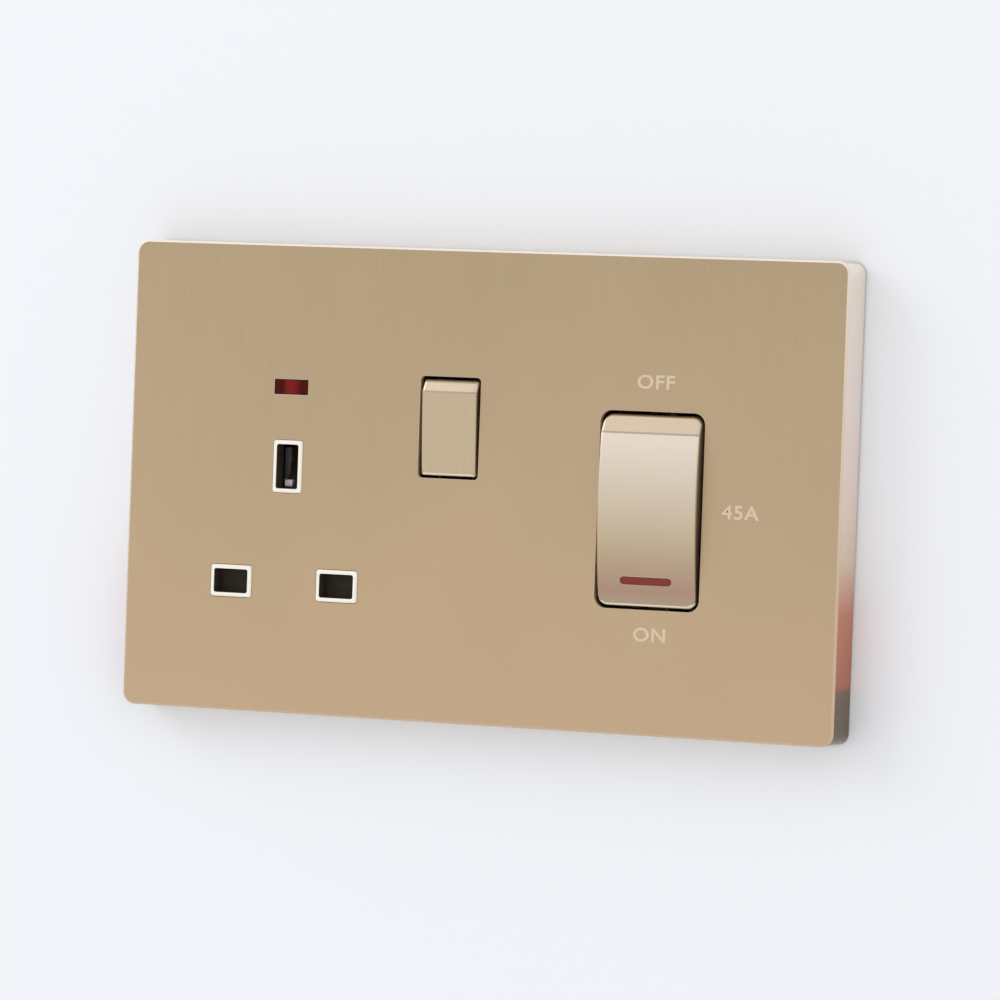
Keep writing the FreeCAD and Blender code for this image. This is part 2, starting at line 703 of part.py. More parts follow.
def make_socket_front():
    """Cream insert with a raised collar round each pin hole and a post for the shutter's spring."""
    body = new_body("socket_front")
    flange = sketch(body, "FlangeOutline", "XZ", "sheet_back - insert_flange")
    centred_box(flange, "socket_x", "insert_z", "2 * insert_half", "insert_top - insert_foot")
    pad(body, "Flange", flange, "insert_flange")
    plug = sketch(body, "PlugOutline", "XZ", "carrier_back")
    centred_box(plug, "socket_x", "insert_z", "2 * (insert_half - insert_ledge)",
                "insert_top - insert_foot - 2 * insert_ledge")
    pad(body, "Plug", plug, "carrier_thickness - insert_flange")
    collars = sketch(body, "CollarOutlines", "XZ", "sheet_back")
    for across, up, width, height in PIN_HOLES.values():
        round_box(collars, across, up, f"{width} + 2 * collar_wall", f"{height} + 2 * collar_wall",
                  "collar_radius")
    pad(body, "Collars", collars, "sheet_thickness + collar_proud")
    front = size("plate_depth + collar_proud")
    dress(body, "Chamfer", "CollarEdges", "collar_proud", lambda edge: at_depth(edge, front))
    holes = sketch(body, "PinHoles", "XZ", "plate_depth + collar_proud")
    for across, up, width, height in PIN_HOLES.values():
        round_box(holes, across, up, width, height, "aperture_radius")
    pocket(body, "Holes", holes, "plate_depth + collar_proud - carrier_back")
    post = sketch(body, "SpringPost", "XZ", "carrier_back")
    box_outline(post, "socket_x - spring_post_width / 2", "socket_x + spring_post_width / 2",
                "post_foot", "post_top")
    pad(body, "Post", post, "carrier_back - spring_line + spring_reach", backward=True)
    return body


def make_shutter():
    """Black slide that covers the line and neutral holes, with a stem up to the earth cam."""
    body = new_body("shutter")
    outline = sketch(body, "SlideOutline", "XZ", "shutter_back")
    left, right = "socket_x - cover_half", "socket_x + cover_half"
    stem_left, stem_right = "socket_x - stem_width / 2", "socket_x + stem_width / 2"
    polygon(outline, [(left, "cover_foot"), (right, "cover_foot"), (right, "cover_top"),
                      (stem_right, "cover_top"), (stem_right, "stem_top"), (stem_left, "stem_top"),
                      (stem_left, "cover_top"), (left, "cover_top")])
    pad(body, "Slide", outline, "shutter_thickness")
    window = sketch(body, "SpringWindow", "XZ", "shutter_front")
    box_outline(window, "socket_x - spring_slot_width / 2", "socket_x + spring_slot_width / 2",
                "slot_foot", "spring_slot_top")
    pocket(body, "Window", window, "shutter_thickness")
    return body


def make_earth_cam():
    """White wedge behind the earth hole: the earth pin pushes it, and the shutter with it, down."""
    body = new_body("earth_cam")
    profile = sketch(body, "CamProfile", "YZ", "socket_x")
    foot, top = "stem_top - cam_tail", "aperture_foot + cam_height"
    polygon(profile, [("cam_back - shutter_back", foot), ("0 - shutter_back", foot),
                      ("0 - shutter_back", "stem_top"), ("0 - shutter_front", "stem_top"),
                      ("0 - shutter_front", "aperture_foot + shutter_clearance"),
                      ("cam_back - shutter_back - strap", top), ("cam_back - shutter_back", top)])
    pad(body, "Cam", profile, "cam_width", both_ways=True)
    return body


def make_spring(label, radius, wire, length, turns):
    """A coil spring drawn along Z from the origin, with a gap of one wire radius at each end.

    The wire is swept in short straight runs, which keeps the facets of a hidden piece few.
    """
    reach, thick, steps = size(radius), size(wire), round(size(turns) * SPRING_RUNS)
    rise = (size(length) - 4 * thick) / steps
    points = []
    for step in range(steps + 1):
        angle = 2 * math.pi * step / SPRING_RUNS
        points.append(FreeCAD.Vector(reach * math.cos(angle), reach * math.sin(angle),
                                     2 * thick + rise * step))
    path = Part.makePolygon(points)
    heading = (points[1] - points[0]).normalize()
    rim = Part.makeCircle(thick, points[0], heading).discretize(SPRING_SIDES + 1)
    shell = path.makePipeShell([Part.makePolygon(rim)], True, False, 1)
    spring = doc.addObject("Part::Feature", label)
    spring.Label = label
    spring.Shape = shell
    return spring


def make_shutter_spring():
    """Return spring of the shutter, between the insert's post and the top of the stem's window."""
    spring = make_spring("shutter_spring", "spring_coil", "spring_wire",
                         "spring_slot_top - post_top", "spring_turns")
    spring.Placement = FreeCAD.Placement(
        FreeCAD.Vector(size("socket_x"), -size("spring_line"), size("post_top")), FreeCAD.Rotation())
    return spring


def rocker_face(kind):
    """Corners of a rocker's side view about its pivot, as (Y, Z), and the arc of its main face."""
    top, foot = f"({kind}_window_height / 2 - {kind}_gap)", f"({kind}_gap - {kind}_window_height / 2)"
    crease = f"({top} - {kind}_band)"
    back = f"{kind}_skirt - {kind}_pivot_drop"
    corners = [(back, foot), (back, top), (f"{kind}_top_drop - {kind}_pivot_drop", top),
               (f"0 - {kind}_pivot_drop - {kind}_crest", crease),
               (f"{kind}_foot_drop - {kind}_pivot_drop", foot)]
    return corners, {3: f"{kind}_curve"}


def make_rocker(label, kind, bosses):
    """A hollow rocker on two trunnions, with a tube behind it for each plunger."""
    body = new_body(label)
    width = f"({kind}_window_width - 2 * {kind}_gap)"
    height = f"({kind}_window_height - 2 * {kind}_gap)"
    side_view = sketch(body, "SideView", "YZ")
    corners, arc = rocker_face(kind)
    polygon(side_view, corners, arc)
    pad(body, "Block", side_view, width, both_ways=True)
    half_width, half_height = size(width) / 2, size(height) / 2

    def at_corner(edge):
        middle = edge.BoundBox.Center
        return (along(edge, "y") and abs(abs(middle.x) - half_width) < 1e-3
                and abs(abs(middle.z) - half_height) < 1e-3)

    dress(body, "Fillet", "Corners", f"{kind}_window_radius - {kind}_gap / 2", at_corner)
    ears = sketch(body, "EarOutline", "YZ")
    centred_box(ears, "0", "0", "2 * ear_reach", "2 * ear_reach")
    pad(body, "Ears", ears, width, both_ways=True)
    axle = sketch(body, "TrunnionOutline", "YZ")
    disc(axle, "0", "0", "trunnion_radius")
    pad(body, "Trunnions", axle, f"{kind}_window_width + 2 * (well_gap + trunnion_grip)", both_ways=True)
    hollow = sketch(body, "HollowOutline", "XZ", "0 - ear_reach - well_gap")
    centred_box(hollow, "0", "0", f"{width} - 2 * rocker_skin", f"{height} - 2 * rocker_skin")
    pocket(body, "Hollow", hollow, f"{kind}_pivot_drop - rocker_skin + ear_reach + well_gap", forward=True)
    tubes = sketch(body, "TubeOutlines", "XZ", tilt=f"{kind}_tilt / 2")
    tube_side = f"2 * ({kind}_plunger_radius + plunger_fit + boss_wall)"
    for across in bosses:
        centred_box(tubes, across, "0", tube_side, tube_side)
    pad(body, "TubeRoots", tubes, f"{kind}_pivot_drop - rocker_skin / 2")
    tails = sketch(body, "TubeTails", "XZ", tilt=f"{kind}_tilt / 2")
    for across in bosses:
        centred_box(tails, across, "0", tube_side, tube_side)
    pad(body, "Tubes", tails, f"{kind}_boss_reach", backward=True)
    bores = sketch(body, "BoreOutlines", "XZ", tilt=f"{kind}_tilt / 2")
    for across in bosses:
        disc(bores, across, "0", f"{kind}_plunger_radius + plunger_fit")
    pocket(body, "Bores", bores, f"{kind}_boss_reach")
    wells = sketch(body, "SpringWellOutlines", "XZ", tilt=f"{kind}_tilt / 2")
    for across in bosses:
        disc(wells, across, "0", f"{kind}_plunger_radius + plunger_fit")
    pocket(body, "SpringWells", wells, f"{kind}_pivot_drop - rocker_skin - boss_wall", forward=True)
    put(body, f"{kind}_x", f"{kind}_pivot", f"{kind}_z")
    return body


def make_rocker_flag():
    """Red bar let into the cooker rocker's face, following its curve."""
    body = new_body("rocker_flag")
    corners, arc = rocker_face("main")
    crest, foot = corners[3], corners[4]
    run = f"(({crest[1]}) - ({foot[1]}))"
    rise = f"(({foot[0]}) - ({crest[0]}))"
    half = f"(sqrt({run} * {run} + {rise} * {rise}) / 2)"
    inward = f"(sqrt(main_curve * main_curve - {half} * {half}) / (2 * {half}))"
    centre_y = f"((({crest[0]}) + ({foot[0]})) / 2 + {inward} * {run})"
    centre_z = f"((({crest[1]}) + ({foot[1]})) / 2 + {inward} * {rise})"

    def face_y(height):
        step = f"({height} - {centre_z})"
        return f"{centre_y} - sqrt(main_curve * main_curve - {step} * {step})"

    low, high = "(flag_z - flag_height / 2)", "(flag_z + flag_height / 2)"
    back = f"{face_y('flag_z')} + flag_depth"
    profile = sketch(body, "FlagProfile", "YZ")
    polygon(profile, [(back, low), (back, high), (face_y(high), high), (face_y(low), low)],
            {2: "main_curve"})
    pad(body, "Bar", profile, "flag_width", both_ways=True)
    half_width = size("flag_width / 2")
    dress(body, "Fillet", "Ends", "flag_height / 2 - flag_fit",
          lambda edge: along(edge, "y") and abs(abs(edge.BoundBox.Center.x) - half_width) < 1e-3)
    put(body, "main_x", "main_pivot", "main_z")
    return face_y("flag_z")


def cut_flag_seat(rocker, face):
    """Cuts the flag's recess into the cooker rocker."""
    seat = sketch(rocker, "FlagSeat", "XZ", f"0 - ({face}) - flag_depth")
    round_box(seat, "0", "flag_z", "flag_width + 2 * flag_fit", "flag_height + 2 * flag_fit",
              "flag_height / 2")
    pocket(rocker, "FlagRecess", seat, "flag_depth * 2", forward=True)


def make_plunger(label, kind, across):
    """A nylon plunger, standing in its tube at the rocker's present tilt."""
    body = new_body(label)
    ring = sketch(body, "PlungerOutline", "XZ", f"0 - {kind}_drop")
    disc(ring, "0", "0", f"{kind}_plunger_radius")
    pad(body, "Shank", ring, f"{kind}_drop - {kind}_boss_reach / 2")
    put(body, across, f"{kind}_pivot", f"{kind}_z", turn=f"{kind}_tilt / 2")


def make_plunger_spring(label, kind, across):
    """The spring that presses a plunger, between the tube's blind end and the shank."""
    radius = f"{kind}_plunger_radius - spring_wire"
    start = f"{kind}_boss_reach / 2"
    length = f"{kind}_pivot_drop - rocker_skin - boss_wall + {start}"
    spring = make_spring(label, radius, "spring_wire", length, "spring_turns")
    lean = size(f"{kind}_tilt / 2")
    turn = FreeCAD.Rotation(FreeCAD.Vector(1, 0, 0), 90 + lean)
    pivot = FreeCAD.Vector(size(across), -size(f"{kind}_pivot"), size(f"{kind}_z"))
    foot = FreeCAD.Rotation(FreeCAD.Vector(1, 0, 0), lean).multVec(FreeCAD.Vector(0, size(start), 0))
    spring.Placement = FreeCAD.Placement(pivot + foot, turn)


def make_moving_contact(label, kind, across):
    """A see-saw blade: a notch underneath for its fulcrum and a contact button near one end."""
    body = new_body(label)
    profile = sketch(body, "BladeProfile", "YZ")
    thickness, arm = f"{kind}_blade", f"{kind}_arm"
    polygon(profile, [("fulcrum_gap", f"0 - {arm}"), ("fulcrum_gap", "0 - blade_notch"),
                      ("fulcrum_gap - blade_notch", "0"), ("fulcrum_gap", "blade_notch"),
                      ("fulcrum_gap", arm), (f"0 - {thickness}", arm), (f"0 - {thickness}", f"0 - {arm}")])
    pad(body, "Blade", profile, f"{kind}_blade_width", both_ways=True)
    button = sketch(body, "ButtonOutline", "XZ", "0 - fulcrum_gap")
    centred_box(button, "0", f"{kind}_button_z", "2 * button_half", "2 * button_half")
    pad(body, "Button", button, "button_height - fulcrum_gap", backward=True)
    put(body, across, f"{kind}_fulcrum", f"{kind}_z", turn=f"0 - {kind}_swing")


def strap_profile(kind):
    """Heights along Z of a switch's fixed parts, from its own sizes."""
    return {"pedestal": f"{kind}_z", "button": f"{kind}_z + {kind}_button_z",
            "front": f"{kind}_strap", "back": f"{kind}_strap - strap"}


def add_pedestal(body, kind, across):
    """The ridge that a blade rocks on, standing on its strap."""
    place = strap_profile(kind)
    ridge = sketch(body, "RidgeProfile", "YZ", across)
    half, foot = "fulcrum_width / 2", f"0 - {place['front']}"
    polygon(ridge, [(foot, f"{kind}_z - {half}"), (foot, f"{kind}_z + {half}"),
                    (f"fulcrum_gap - {kind}_fulcrum", f"{kind}_z + fulcrum_gap"),
                    (f"fulcrum_gap - {kind}_fulcrum", f"{kind}_z - fulcrum_gap")])
    pad(body, "Ridge", ridge, f"{kind}_blade_width", both_ways=True)


def add_block(body, name, left, right, foot, top, back, front):
    """A plain bar between six formulas; back and front are distances ahead of the wall."""
    outline = sketch(body, f"{name}Outline", "XZ", back)
    box_outline(outline, left, right, foot, top)
    pad(body, name, outline, f"{front} - ({back})")


def make_pole_contacts(side, across):
    """One pole of the cooker switch: the pivot strap to the load and the fixed strap to the supply."""
    place = strap_profile("main")
    left, right = f"{across} - main_blade_width / 2", f"{across} + main_blade_width / 2"
    pivot = new_body(f"{side}_pivot_contact")
    add_block(pivot, "Strap", left, right, "0 - terminal_root", "main_z + fulcrum_width / 2",
              place["back"], place["front"])
    add_block(pivot, "Tab", left, right, "0 - terminal_root", "strap - terminal_root",
              place["front"], "main_fulcrum")
    add_pedestal(pivot, "main", across)
    fixed = new_body(f"{side}_fixed_contact")
    button_foot = f"{place['button']} - button_half - contact_gap"
    add_block(fixed, "Strap", left, right, button_foot, "terminal_root", place["back"], place["front"])
    add_block(fixed, "Tab", left, right, "terminal_root - strap", "terminal_root",
              place["front"], "main_fulcrum")
    stud = sketch(fixed, "ButtonOutline", "XZ", place["front"])
    centred_box(stud, across, place["button"], "2 * button_half", "2 * button_half")
    pad(fixed, "Button", stud, "button_height")


def make_terminal(label, across, width, bores, side):
    """A brass block with conductor bores from its outer end and clamp screws from the rear."""
    body = new_body(label)
    sign = "0 - " if side < 0 else ""
    inner, outer = f"{sign}terminal_root", f"{sign}terminal_end"
    foot, top = (outer, inner) if side < 0 else (inner, outer)
    add_block(body, "Block", f"{across} - ({width}) / 2", f"{across} + ({width}) / 2", foot, top,
              "base_floor", "terminal_front")
    mouths = sketch(body, "BoreOutlines", "XY", outer)
    for centre in bores:
        disc(mouths, centre, "0 - bore_line", "terminal_bore")
    pocket(body, "Bores", mouths, "terminal_length - terminal_wall", forward=side < 0)
    threads = sketch(body, "ThreadOutlines", "XZ", "base_floor")
    for centre in bores:
        disc(threads, centre, f"{sign}terminal_middle", "screw_radius + screw_fit")
    pocket(body, "Threads", threads, "bore_from_rear", forward=True)


def make_terminal_screws():
    """All the clamp screws, backed out clear of the conductor bores."""
    shanks = []
    for across, sides in CLAMP_SCREWS:
        for sign in sides:
            end = FreeCAD.Vector(size(across), size("base_depth"), size(f"{sign}terminal_middle"))
            shanks.append(Part.makeCylinder(size("screw_radius"), size("screw_length"), end,
                                            FreeCAD.Vector(0, -1, 0)))
    screws = doc.addObject("Part::Feature", "terminal_screws")
    screws.Label = "terminal_screws"
    screws.Shape = Part.makeCompound(shanks)


def make_pin_contact(label, across, up, width, front, back, upright=False, tail=None):
    """A folded brass clip for one pin: two flared leaves on a base, with a tail to its strap.

    The section lies across the pin's flat sides: upright clips are drawn from above, the others
    from the side. A tail is ("over" or "under", height of its end).
    """
    body = new_body(label)
    middle = across if upright else up
    drawing = sketch(body, "ClipProfile", "XY" if upright else "YZ", up if upright else across)
    mouth_y, throat_y = f"0 - ({front})", f"leaf_flare - ({front})"
    base_in, base_out = back, f"{back} + leaf"
    throat, mouth = "leaf_throat / 2", "leaf_mouth / 2"
    outer_throat, outer_mouth = f"{throat} + leaf", f"{mouth} + leaf"
    over = [(base_out, f"{middle} + {outer_throat}")]
    under = [(base_out, f"{middle} - ({outer_throat})")]
    if tail and tail[0] == "over":
        over = [(base_out, tail[1]), (base_in, tail[1]), (base_in, f"{middle} + {outer_throat}")]
    if tail and tail[0] == "under":
        under = [(base_in, f"{middle} - ({outer_throat})"), (base_in, tail[1]), (base_out, tail[1])]
    outline = [(mouth_y, f"{middle} + {mouth}"), (throat_y, f"{middle} + {throat}"),
               (base_in, f"{middle} + {throat}"), (base_in, f"{middle} - {throat}"),
               (throat_y, f"{middle} - {throat}"), (mouth_y, f"{middle} - {mouth}"),
               (mouth_y, f"{middle} - ({outer_mouth})"), (throat_y, f"{middle} - ({outer_throat})"),
               *under, *over,
               (throat_y, f"{middle} + {outer_throat}"), (mouth_y, f"{middle} + {outer_mouth}")]
    if upright:
        outline = [(offset, depth) for depth, offset in outline]
    polygon(drawing, outline)
    pad(body, "Clip", drawing, width, both_ways=True)


def make_socket_links():
    """Brass straps of the socket: its switch, and the ways from supply and earth to the pin clips."""
    width = "strap_width / 2"
    busbar = new_body("live_busbar")
    front, back = "small_strap", "small_strap - strap"
    left, right = f"small_x - {width}", f"small_x + {width}"
    add_block(busbar, "Foot", left, right, "small_z + small_button_z - button_half - contact_gap",
              "busbar_z + strap", back, front)
    add_block(busbar, "Run", left, "left_pole - terminal_width / 2", "busbar_z", "busbar_z + strap",
              f"{back} - busbar_width", front)
    add_block(busbar, "Tab", "left_pole - terminal_width / 2 - strap", "left_pole - terminal_width / 2",
              "busbar_z", "busbar_z + busbar_width", f"{back} - busbar_width", front)
    stud = sketch(busbar, "ButtonOutline", "XZ", front)
    centred_box(stud, "small_x", "small_z + small_button_z", "2 * button_half", "2 * button_half")
    pad(busbar, "Button", stud, "button_height")

    pivot = new_body("socket_pivot_contact")
    add_block(pivot, "Strap", left, right, "link_z", "small_z + fulcrum_width / 2", back, front)
    add_pedestal(pivot, "small", "small_x")

    link = new_body("live_link")
    add_block(link, "Run", f"live_x - {width}", right, "link_z", "link_z + strap",
              "0 - live_contact_back - 2 * leaf", f"{back}")

    neutral = new_body("neutral_busbar")
    top, down, foot = "neutral_top_z", "neutral_down_x", "neutral_foot_z"
    near, far = "neutral_front - strap", "neutral_front"
    flat = sketch(neutral, "FlatOutline", "XZ", near)
    tap = "right_pole - terminal_width / 2 + strap"
    start, low, high = f"neutral_x - {width}", f"{foot} - {width} / 2", f"{foot} + {width} / 2"
    polygon(flat, [(start, low), (f"{down} + {width}", low), (f"{down} + {width}", f"{top} - {width}"),
                   (tap, f"{top} - {width}"), (tap, f"{top} + {width}"),
                   (f"{down} - {width}", f"{top} + {width}"), (f"{down} - {width}", high), (start, high)])
    pad(neutral, "Flat", flat, "strap")
    add_block(neutral, "Riser", f"{tap} - strap", tap, f"{top} - {width}", f"{top} + {width}",
              "terminal_front", near)
    add_block(neutral, "Landing", tap, "right_pole + terminal_width / 2", f"{top} - {width}",
              f"{top} + {width}", "terminal_front", "terminal_front + strap")
    add_block(neutral, "Drop", f"neutral_x - {width}", f"neutral_x + {width}",
              f"{foot} + {width} / 2 - strap", f"{foot} + {width} / 2",
              "0 - live_contact_back - leaf", near)

    earth = new_body("earth_strap")
    block_left = "earth_x - (earth_spacing + terminal_width) / 2"
    floor, lift = "base_floor", "base_floor + strap"
    add_block(earth, "Run", f"socket_x - {width}", block_left, f"earth_strap_z - {width}",
              f"earth_strap_z + {width}", floor, lift)
    add_block(earth, "Rise", f"socket_x - {width}", f"socket_x + {width}", f"earth_strap_z + {width}",
              f"earth_z + earth_contact_height / 2", floor, lift)
    add_block(earth, "Fall", f"{block_left} - strap_width", block_left, "0 - terminal_end",
              f"earth_strap_z - {width}", floor, lift)
    add_block(earth, "Tab", f"{block_left} - strap", block_left, "0 - terminal_end", "0 - terminal_root",
              lift, f"{lift} + strap_width")


def make_neon():
    """Red lens held behind the carrier, with its lamp and resistor in the base's cradle."""
    lens = new_body("neon_lens")
    bezel = sketch(lens, "LensOutline", "XZ", "carrier_back")
    centred_box(bezel, "neon_x", "neon_z", "lens_width", "lens_height")
    pad(lens, "Window", bezel, "plate_depth - carrier_back")
    flange = sketch(lens, "FlangeOutline", "XZ", "carrier_back")
    centred_box(flange, "neon_x", "neon_z", "lens_width + 2 * lens_flange",
                "lens_height + 2 * lens_flange")
    pad(lens, "Flange", flange, "lens_flange", backward=True)
    lamp = new_body("neon_lamp")
    tube = sketch(lamp, "TubeOutline", "YZ", "neon_x")
    disc(tube, "0 - lamp_line", "neon_z", "lamp_radius")
    pad(lamp, "Tube", tube, "lamp_length", both_ways=True)
    resistor = new_body("neon_resistor")
    rod = sketch(resistor, "RodOutline", "YZ", "neon_x")
    disc(rod, "0 - resistor_line", "neon_z", "resistor_radius")
    pad(resistor, "Rod", rod, "resistor_length", both_ways=True)


def make_rear_housing():
    """Moulded base: an open tub with barriers, clip chambers, posts, seats and conductor entries."""
    body = new_body("rear_housing")
    flange = sketch(body, "FlangeOutline", "XZ", "flange_play")
    notched_outline(flange, "flange_margin")
    pad(body, "Flange", flange, "rebate_depth - flange_play")
    tub = sketch(body, "TubOutline", "XZ", "0 - base_depth")
    notched_outline(tub, "0")
    pad(body, "Tub", tub, "base_depth + rebate_depth")
    rear, top = size("0 - base_depth"), size("base_height / 2")

    def at_rear_edge(edge):
        middle = edge.BoundBox.Center
        return at_depth(edge, rear) and along(edge, "x") and abs(abs(middle.z) - top) < 1e-3

    dress(body, "Chamfer", "RearEdges", "rear_chamfer", at_rear_edge)
    hollow = sketch(body, "HollowOutline", "XZ", "rebate_depth")
    notched_outline(hollow, "0 - base_wall")
    pocket(body, "Hollow", hollow, "rebate_depth - base_floor")
    posts = sketch(body, "PostOutlines", "XZ", "base_floor")
    for across, up in POSTS:
        centred_box(posts, across, up, "post_side", "post_side")
    pad(body, "Posts", posts, "chamber_top - base_floor")
    add_barriers(body)
    add_seats(body)
    pilot = sketch(body, "PilotHoles", "XZ", "chamber_top")
    for across, up in POSTS:
        disc(pilot, across, up, "thread_radius + screw_fit")
    pocket(body, "Pilots", pilot, "thread_reach + pilot_spare")
    for name, sign, forward in (("Top", "", False), ("Foot", "0 - ", True)):
        entries = sketch(body, f"{name}Entries", "XY", f"{sign}base_height / 2")
        for across, sides in CLAMP_SCREWS:
            if sign in sides:
                centred_box(entries, across, "0 - bore_line", "entry_side", "entry_side")
        pocket(body, f"{name}EntryHoles", entries, "base_wall", forward=forward)
    access = sketch(body, "ScrewAccess", "XZ", "0 - base_depth")
    for across, sides in CLAMP_SCREWS:
        for sign in sides:
            centred_box(access, across, f"{sign}terminal_middle", "access_side", "access_side")
    pocket(body, "Access", access, "base_wall", forward=True)
    recess = sketch(body, "RearRecess", "XZ", "0 - base_depth")
    centred_box(recess, "socket_x / 2", "0", "recess_width", "recess_height")
    pocket(body, "Recess", recess, "recess_depth", forward=True)
    cradle = sketch(body, "CradleNotches", "YZ", "neon_x")
    centred_box(cradle, "0 - lamp_line", "neon_z", "2 * (lamp_radius + screw_fit)",
                "2 * (lamp_radius + screw_fit)")
    centred_box(cradle, "0 - resistor_line", "neon_z", "2 * (resistor_radius + screw_fit)",
                "2 * (resistor_radius + screw_fit)")
    pocket(body, "Cradle", cradle, "lamp_length", both_ways=True)


def add_barriers(body):
    """Upright walls between live parts: long ones beside the poles, short ones beside the clips."""
    wall = "chamber_wall / 2"
    outer = "pole_offset + terminal_width / 2 + chamber_wall / 2 + well_gap"
    inner_top = "base_height / 2 - base_wall"
    inner_foot = f"0 - ({inner_top})"
    above_earth = "earth_strap_z + strap_width"
    below_busbar = "busbar_z - strap"
    for name, across, foot, top in (
            ("PoleBarrier", "main_x", inner_foot, "neutral_top_z - strap_width"),
            ("LeftBarrier", f"main_x - ({outer})", inner_foot, below_busbar),
            ("RightBarrier", f"main_x + ({outer})", inner_foot, inner_top),
            ("SmallLeft", "small_x - small_window_width / 2", above_earth, below_busbar),
            ("SmallRight", "small_x + small_window_width / 2", above_earth, below_busbar)):
        add_block(body, name, f"{across} - {wall}", f"{across} + {wall}", foot, top, "base_floor",
                  "barrier_top")
    reach = "live_contact_width / 2 + clip_play"
    for name, across in (("Live", "live_x"), ("Neutral", "neutral_x")):
        for side, sign in (("Left", "-"), ("Right", "+")):
            middle = f"{across} {sign} ({reach} + {wall})"
            add_block(body, f"{name}{side}Wall", f"{middle} - {wall}", f"{middle} + {wall}",
                      "pin_line_z - leaf_mouth / 2 - leaf - clip_play",
                      "pin_line_z + leaf_mouth / 2 + leaf + clip_play", "base_floor", "chamber_top")
        add_block(body, f"{name}Seat", f"{across} - {reach}", f"{across} + {reach}",
                  "pin_line_z - leaf_throat / 2", "pin_line_z + leaf_throat / 2", "base_floor",
                  "0 - live_contact_back - leaf")
    reach = "leaf_mouth / 2 + leaf + clip_play"
    for side, sign in (("Left", "-"), ("Right", "+")):
        middle = f"socket_x {sign} ({reach} + {wall})"
        add_block(body, f"Earth{side}Wall", f"{middle} - {wall}", f"{middle} + {wall}",
                  "earth_z - earth_contact_height / 2", "earth_z + earth_contact_height / 2",
                  "base_floor", "0 - earth_contact_front")
    for side, sign in (("Left", "-"), ("Right", "+")):
        middle = f"neon_x {sign} cradle_pitch / 2"
        add_block(body, f"Cradle{side}", f"{middle} - {wall}", f"{middle} + {wall}",
                  "neon_z - lamp_radius - chamber_wall", "neon_z + lamp_radius + chamber_wall",
                  "base_floor", "lamp_line")


def add_seats(body):
    """Blocks on the floor that carry the switch straps and the live link."""
    half = "seat_width / 2"
    for side, across in (("Left", "left_pole"), ("Right", "right_pole")):
        for end, up in (("Foot", "main_z - fulcrum_width"), ("Top", "main_z + main_button_z")):
            add_block(body, f"{side}{end}Seat", f"{across} - {half}", f"{across} + {half}",
                      f"{up} - {half}", f"{up} + {half}", "base_floor", "main_strap - strap")
    for name, up in (("SmallFoot", "small_z - fulcrum_width"), ("SmallTop", "small_z + small_button_z")):
        add_block(body, f"{name}Seat", f"small_x - {half}", f"small_x + {half}",
                  f"{up} - {half}", f"{up} + {half}", "base_floor", "small_strap - strap")


def make_assembly_screws():
    """Screws that clamp carrier, frame and base together, heads under the plate."""
    shapes = []
    for across, up in POSTS:
        seat = size("sheet_back - head_height - flange_play")
        start = FreeCAD.Vector(size(across), -seat, size(up))
        back = FreeCAD.Vector(0, 1, 0)
        head = Part.makeCylinder(size("head_radius"), size("head_height"), start, back * -1)
        shank = Part.makeCylinder(size("thread_radius"), seat - size("chamber_top - thread_reach"),
                                  start, back)
        shapes.append(head.fuse(shank))
    screws = doc.addObject("Part::Feature", "assembly_screws")
    screws.Label = "assembly_screws"
    screws.Shape = Part.makeCompound(shapes)


make_face_plate()
make_mounting_frame()
make_front_moulding()
make_socket_front()
make_shutter()
make_earth_cam()
make_shutter_spring()
make_rocker("socket_rocker", "small", ["0"])
make_plunger("socket_plunger", "small", "small_x")
make_plunger_spring("socket_plunger_spring", "small", "small_x")
make_moving_contact("socket_moving_contact", "small", "small_x")
cooker_rocker = make_rocker("cooker_rocker", "main", ["0 - pole_offset", "pole_offset"])
cut_flag_seat(cooker_rocker, make_rocker_flag())
for side, pole in (("left", "left_pole"), ("right", "right_pole")):
    make_plunger(f"{side}_plunger", "main", pole)
    make_plunger_spring(f"{side}_plunger_spring", "main", pole)
    make_moving_contact(f"{side}_moving_contact", "main", pole)
    make_pole_contacts(side, pole)
for name, sign in (("supply", 1), ("load", -1)):
    make_terminal(f"{name}_live_terminal", "left_pole", "terminal_width", ["left_pole"], sign)
    make_terminal(f"{name}_neutral_terminal", "right_pole", "terminal_width", ["right_pole"], sign)
make_terminal("earth_terminal", "earth_x", "earth_spacing + terminal_width",
              ["earth_x - earth_spacing / 2", "earth_x + earth_spacing / 2"], -1)
make_terminal_screws()
make_pin_contact("live_contact", "live_x", "pin_line_z", "live_contact_width", "live_contact_front",
                 "live_contact_back", tail=("over", "link_z"))
make_pin_contact("neutral_contact", "neutral_x", "pin_line_z", "live_contact_width",
                 "live_contact_front", "live_contact_back",
                 tail=("under", "neutral_foot_z + strap_width / 4"))
make_pin_contact("earth_contact", "socket_x", "earth_z", "earth_contact_height",
                 "0 - earth_contact_front", "0 - base_floor - strap - leaf", upright=True)
make_socket_links()
make_neon()
make_rear_housing()
make_assembly_screws()
doc.recompute()

# Every feature has to be sound before anything is written
for item in doc.Objects:
    if "Invalid" in item.State or "Error" in item.State:
        raise RuntimeError(f"{item.Label} did not build: {item.State}")
pieces = [item for item in doc.Objects if item.TypeId in ("PartDesign::Body", "Part::Feature")]
for piece in pieces:
    if piece.Shape.isNull() or not piece.Shape.isValid():
        raise RuntimeError(f"{piece.Label} has no sound shape")
for piece in pieces:
    piece.Shape.exportStep(f"parts/{piece.Label}.step")
print(f"{len(pieces)} sub-parts written")
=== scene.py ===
"""Looks of the cooker control unit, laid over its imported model.

Frame: X to the viewer's right, Z up, front towards -Y, wall plane at Y = 0, in metres.
"""

import json
import logging
import math
from dataclasses import KW_ONLY, dataclass
from enum import Enum
from typing import Callable

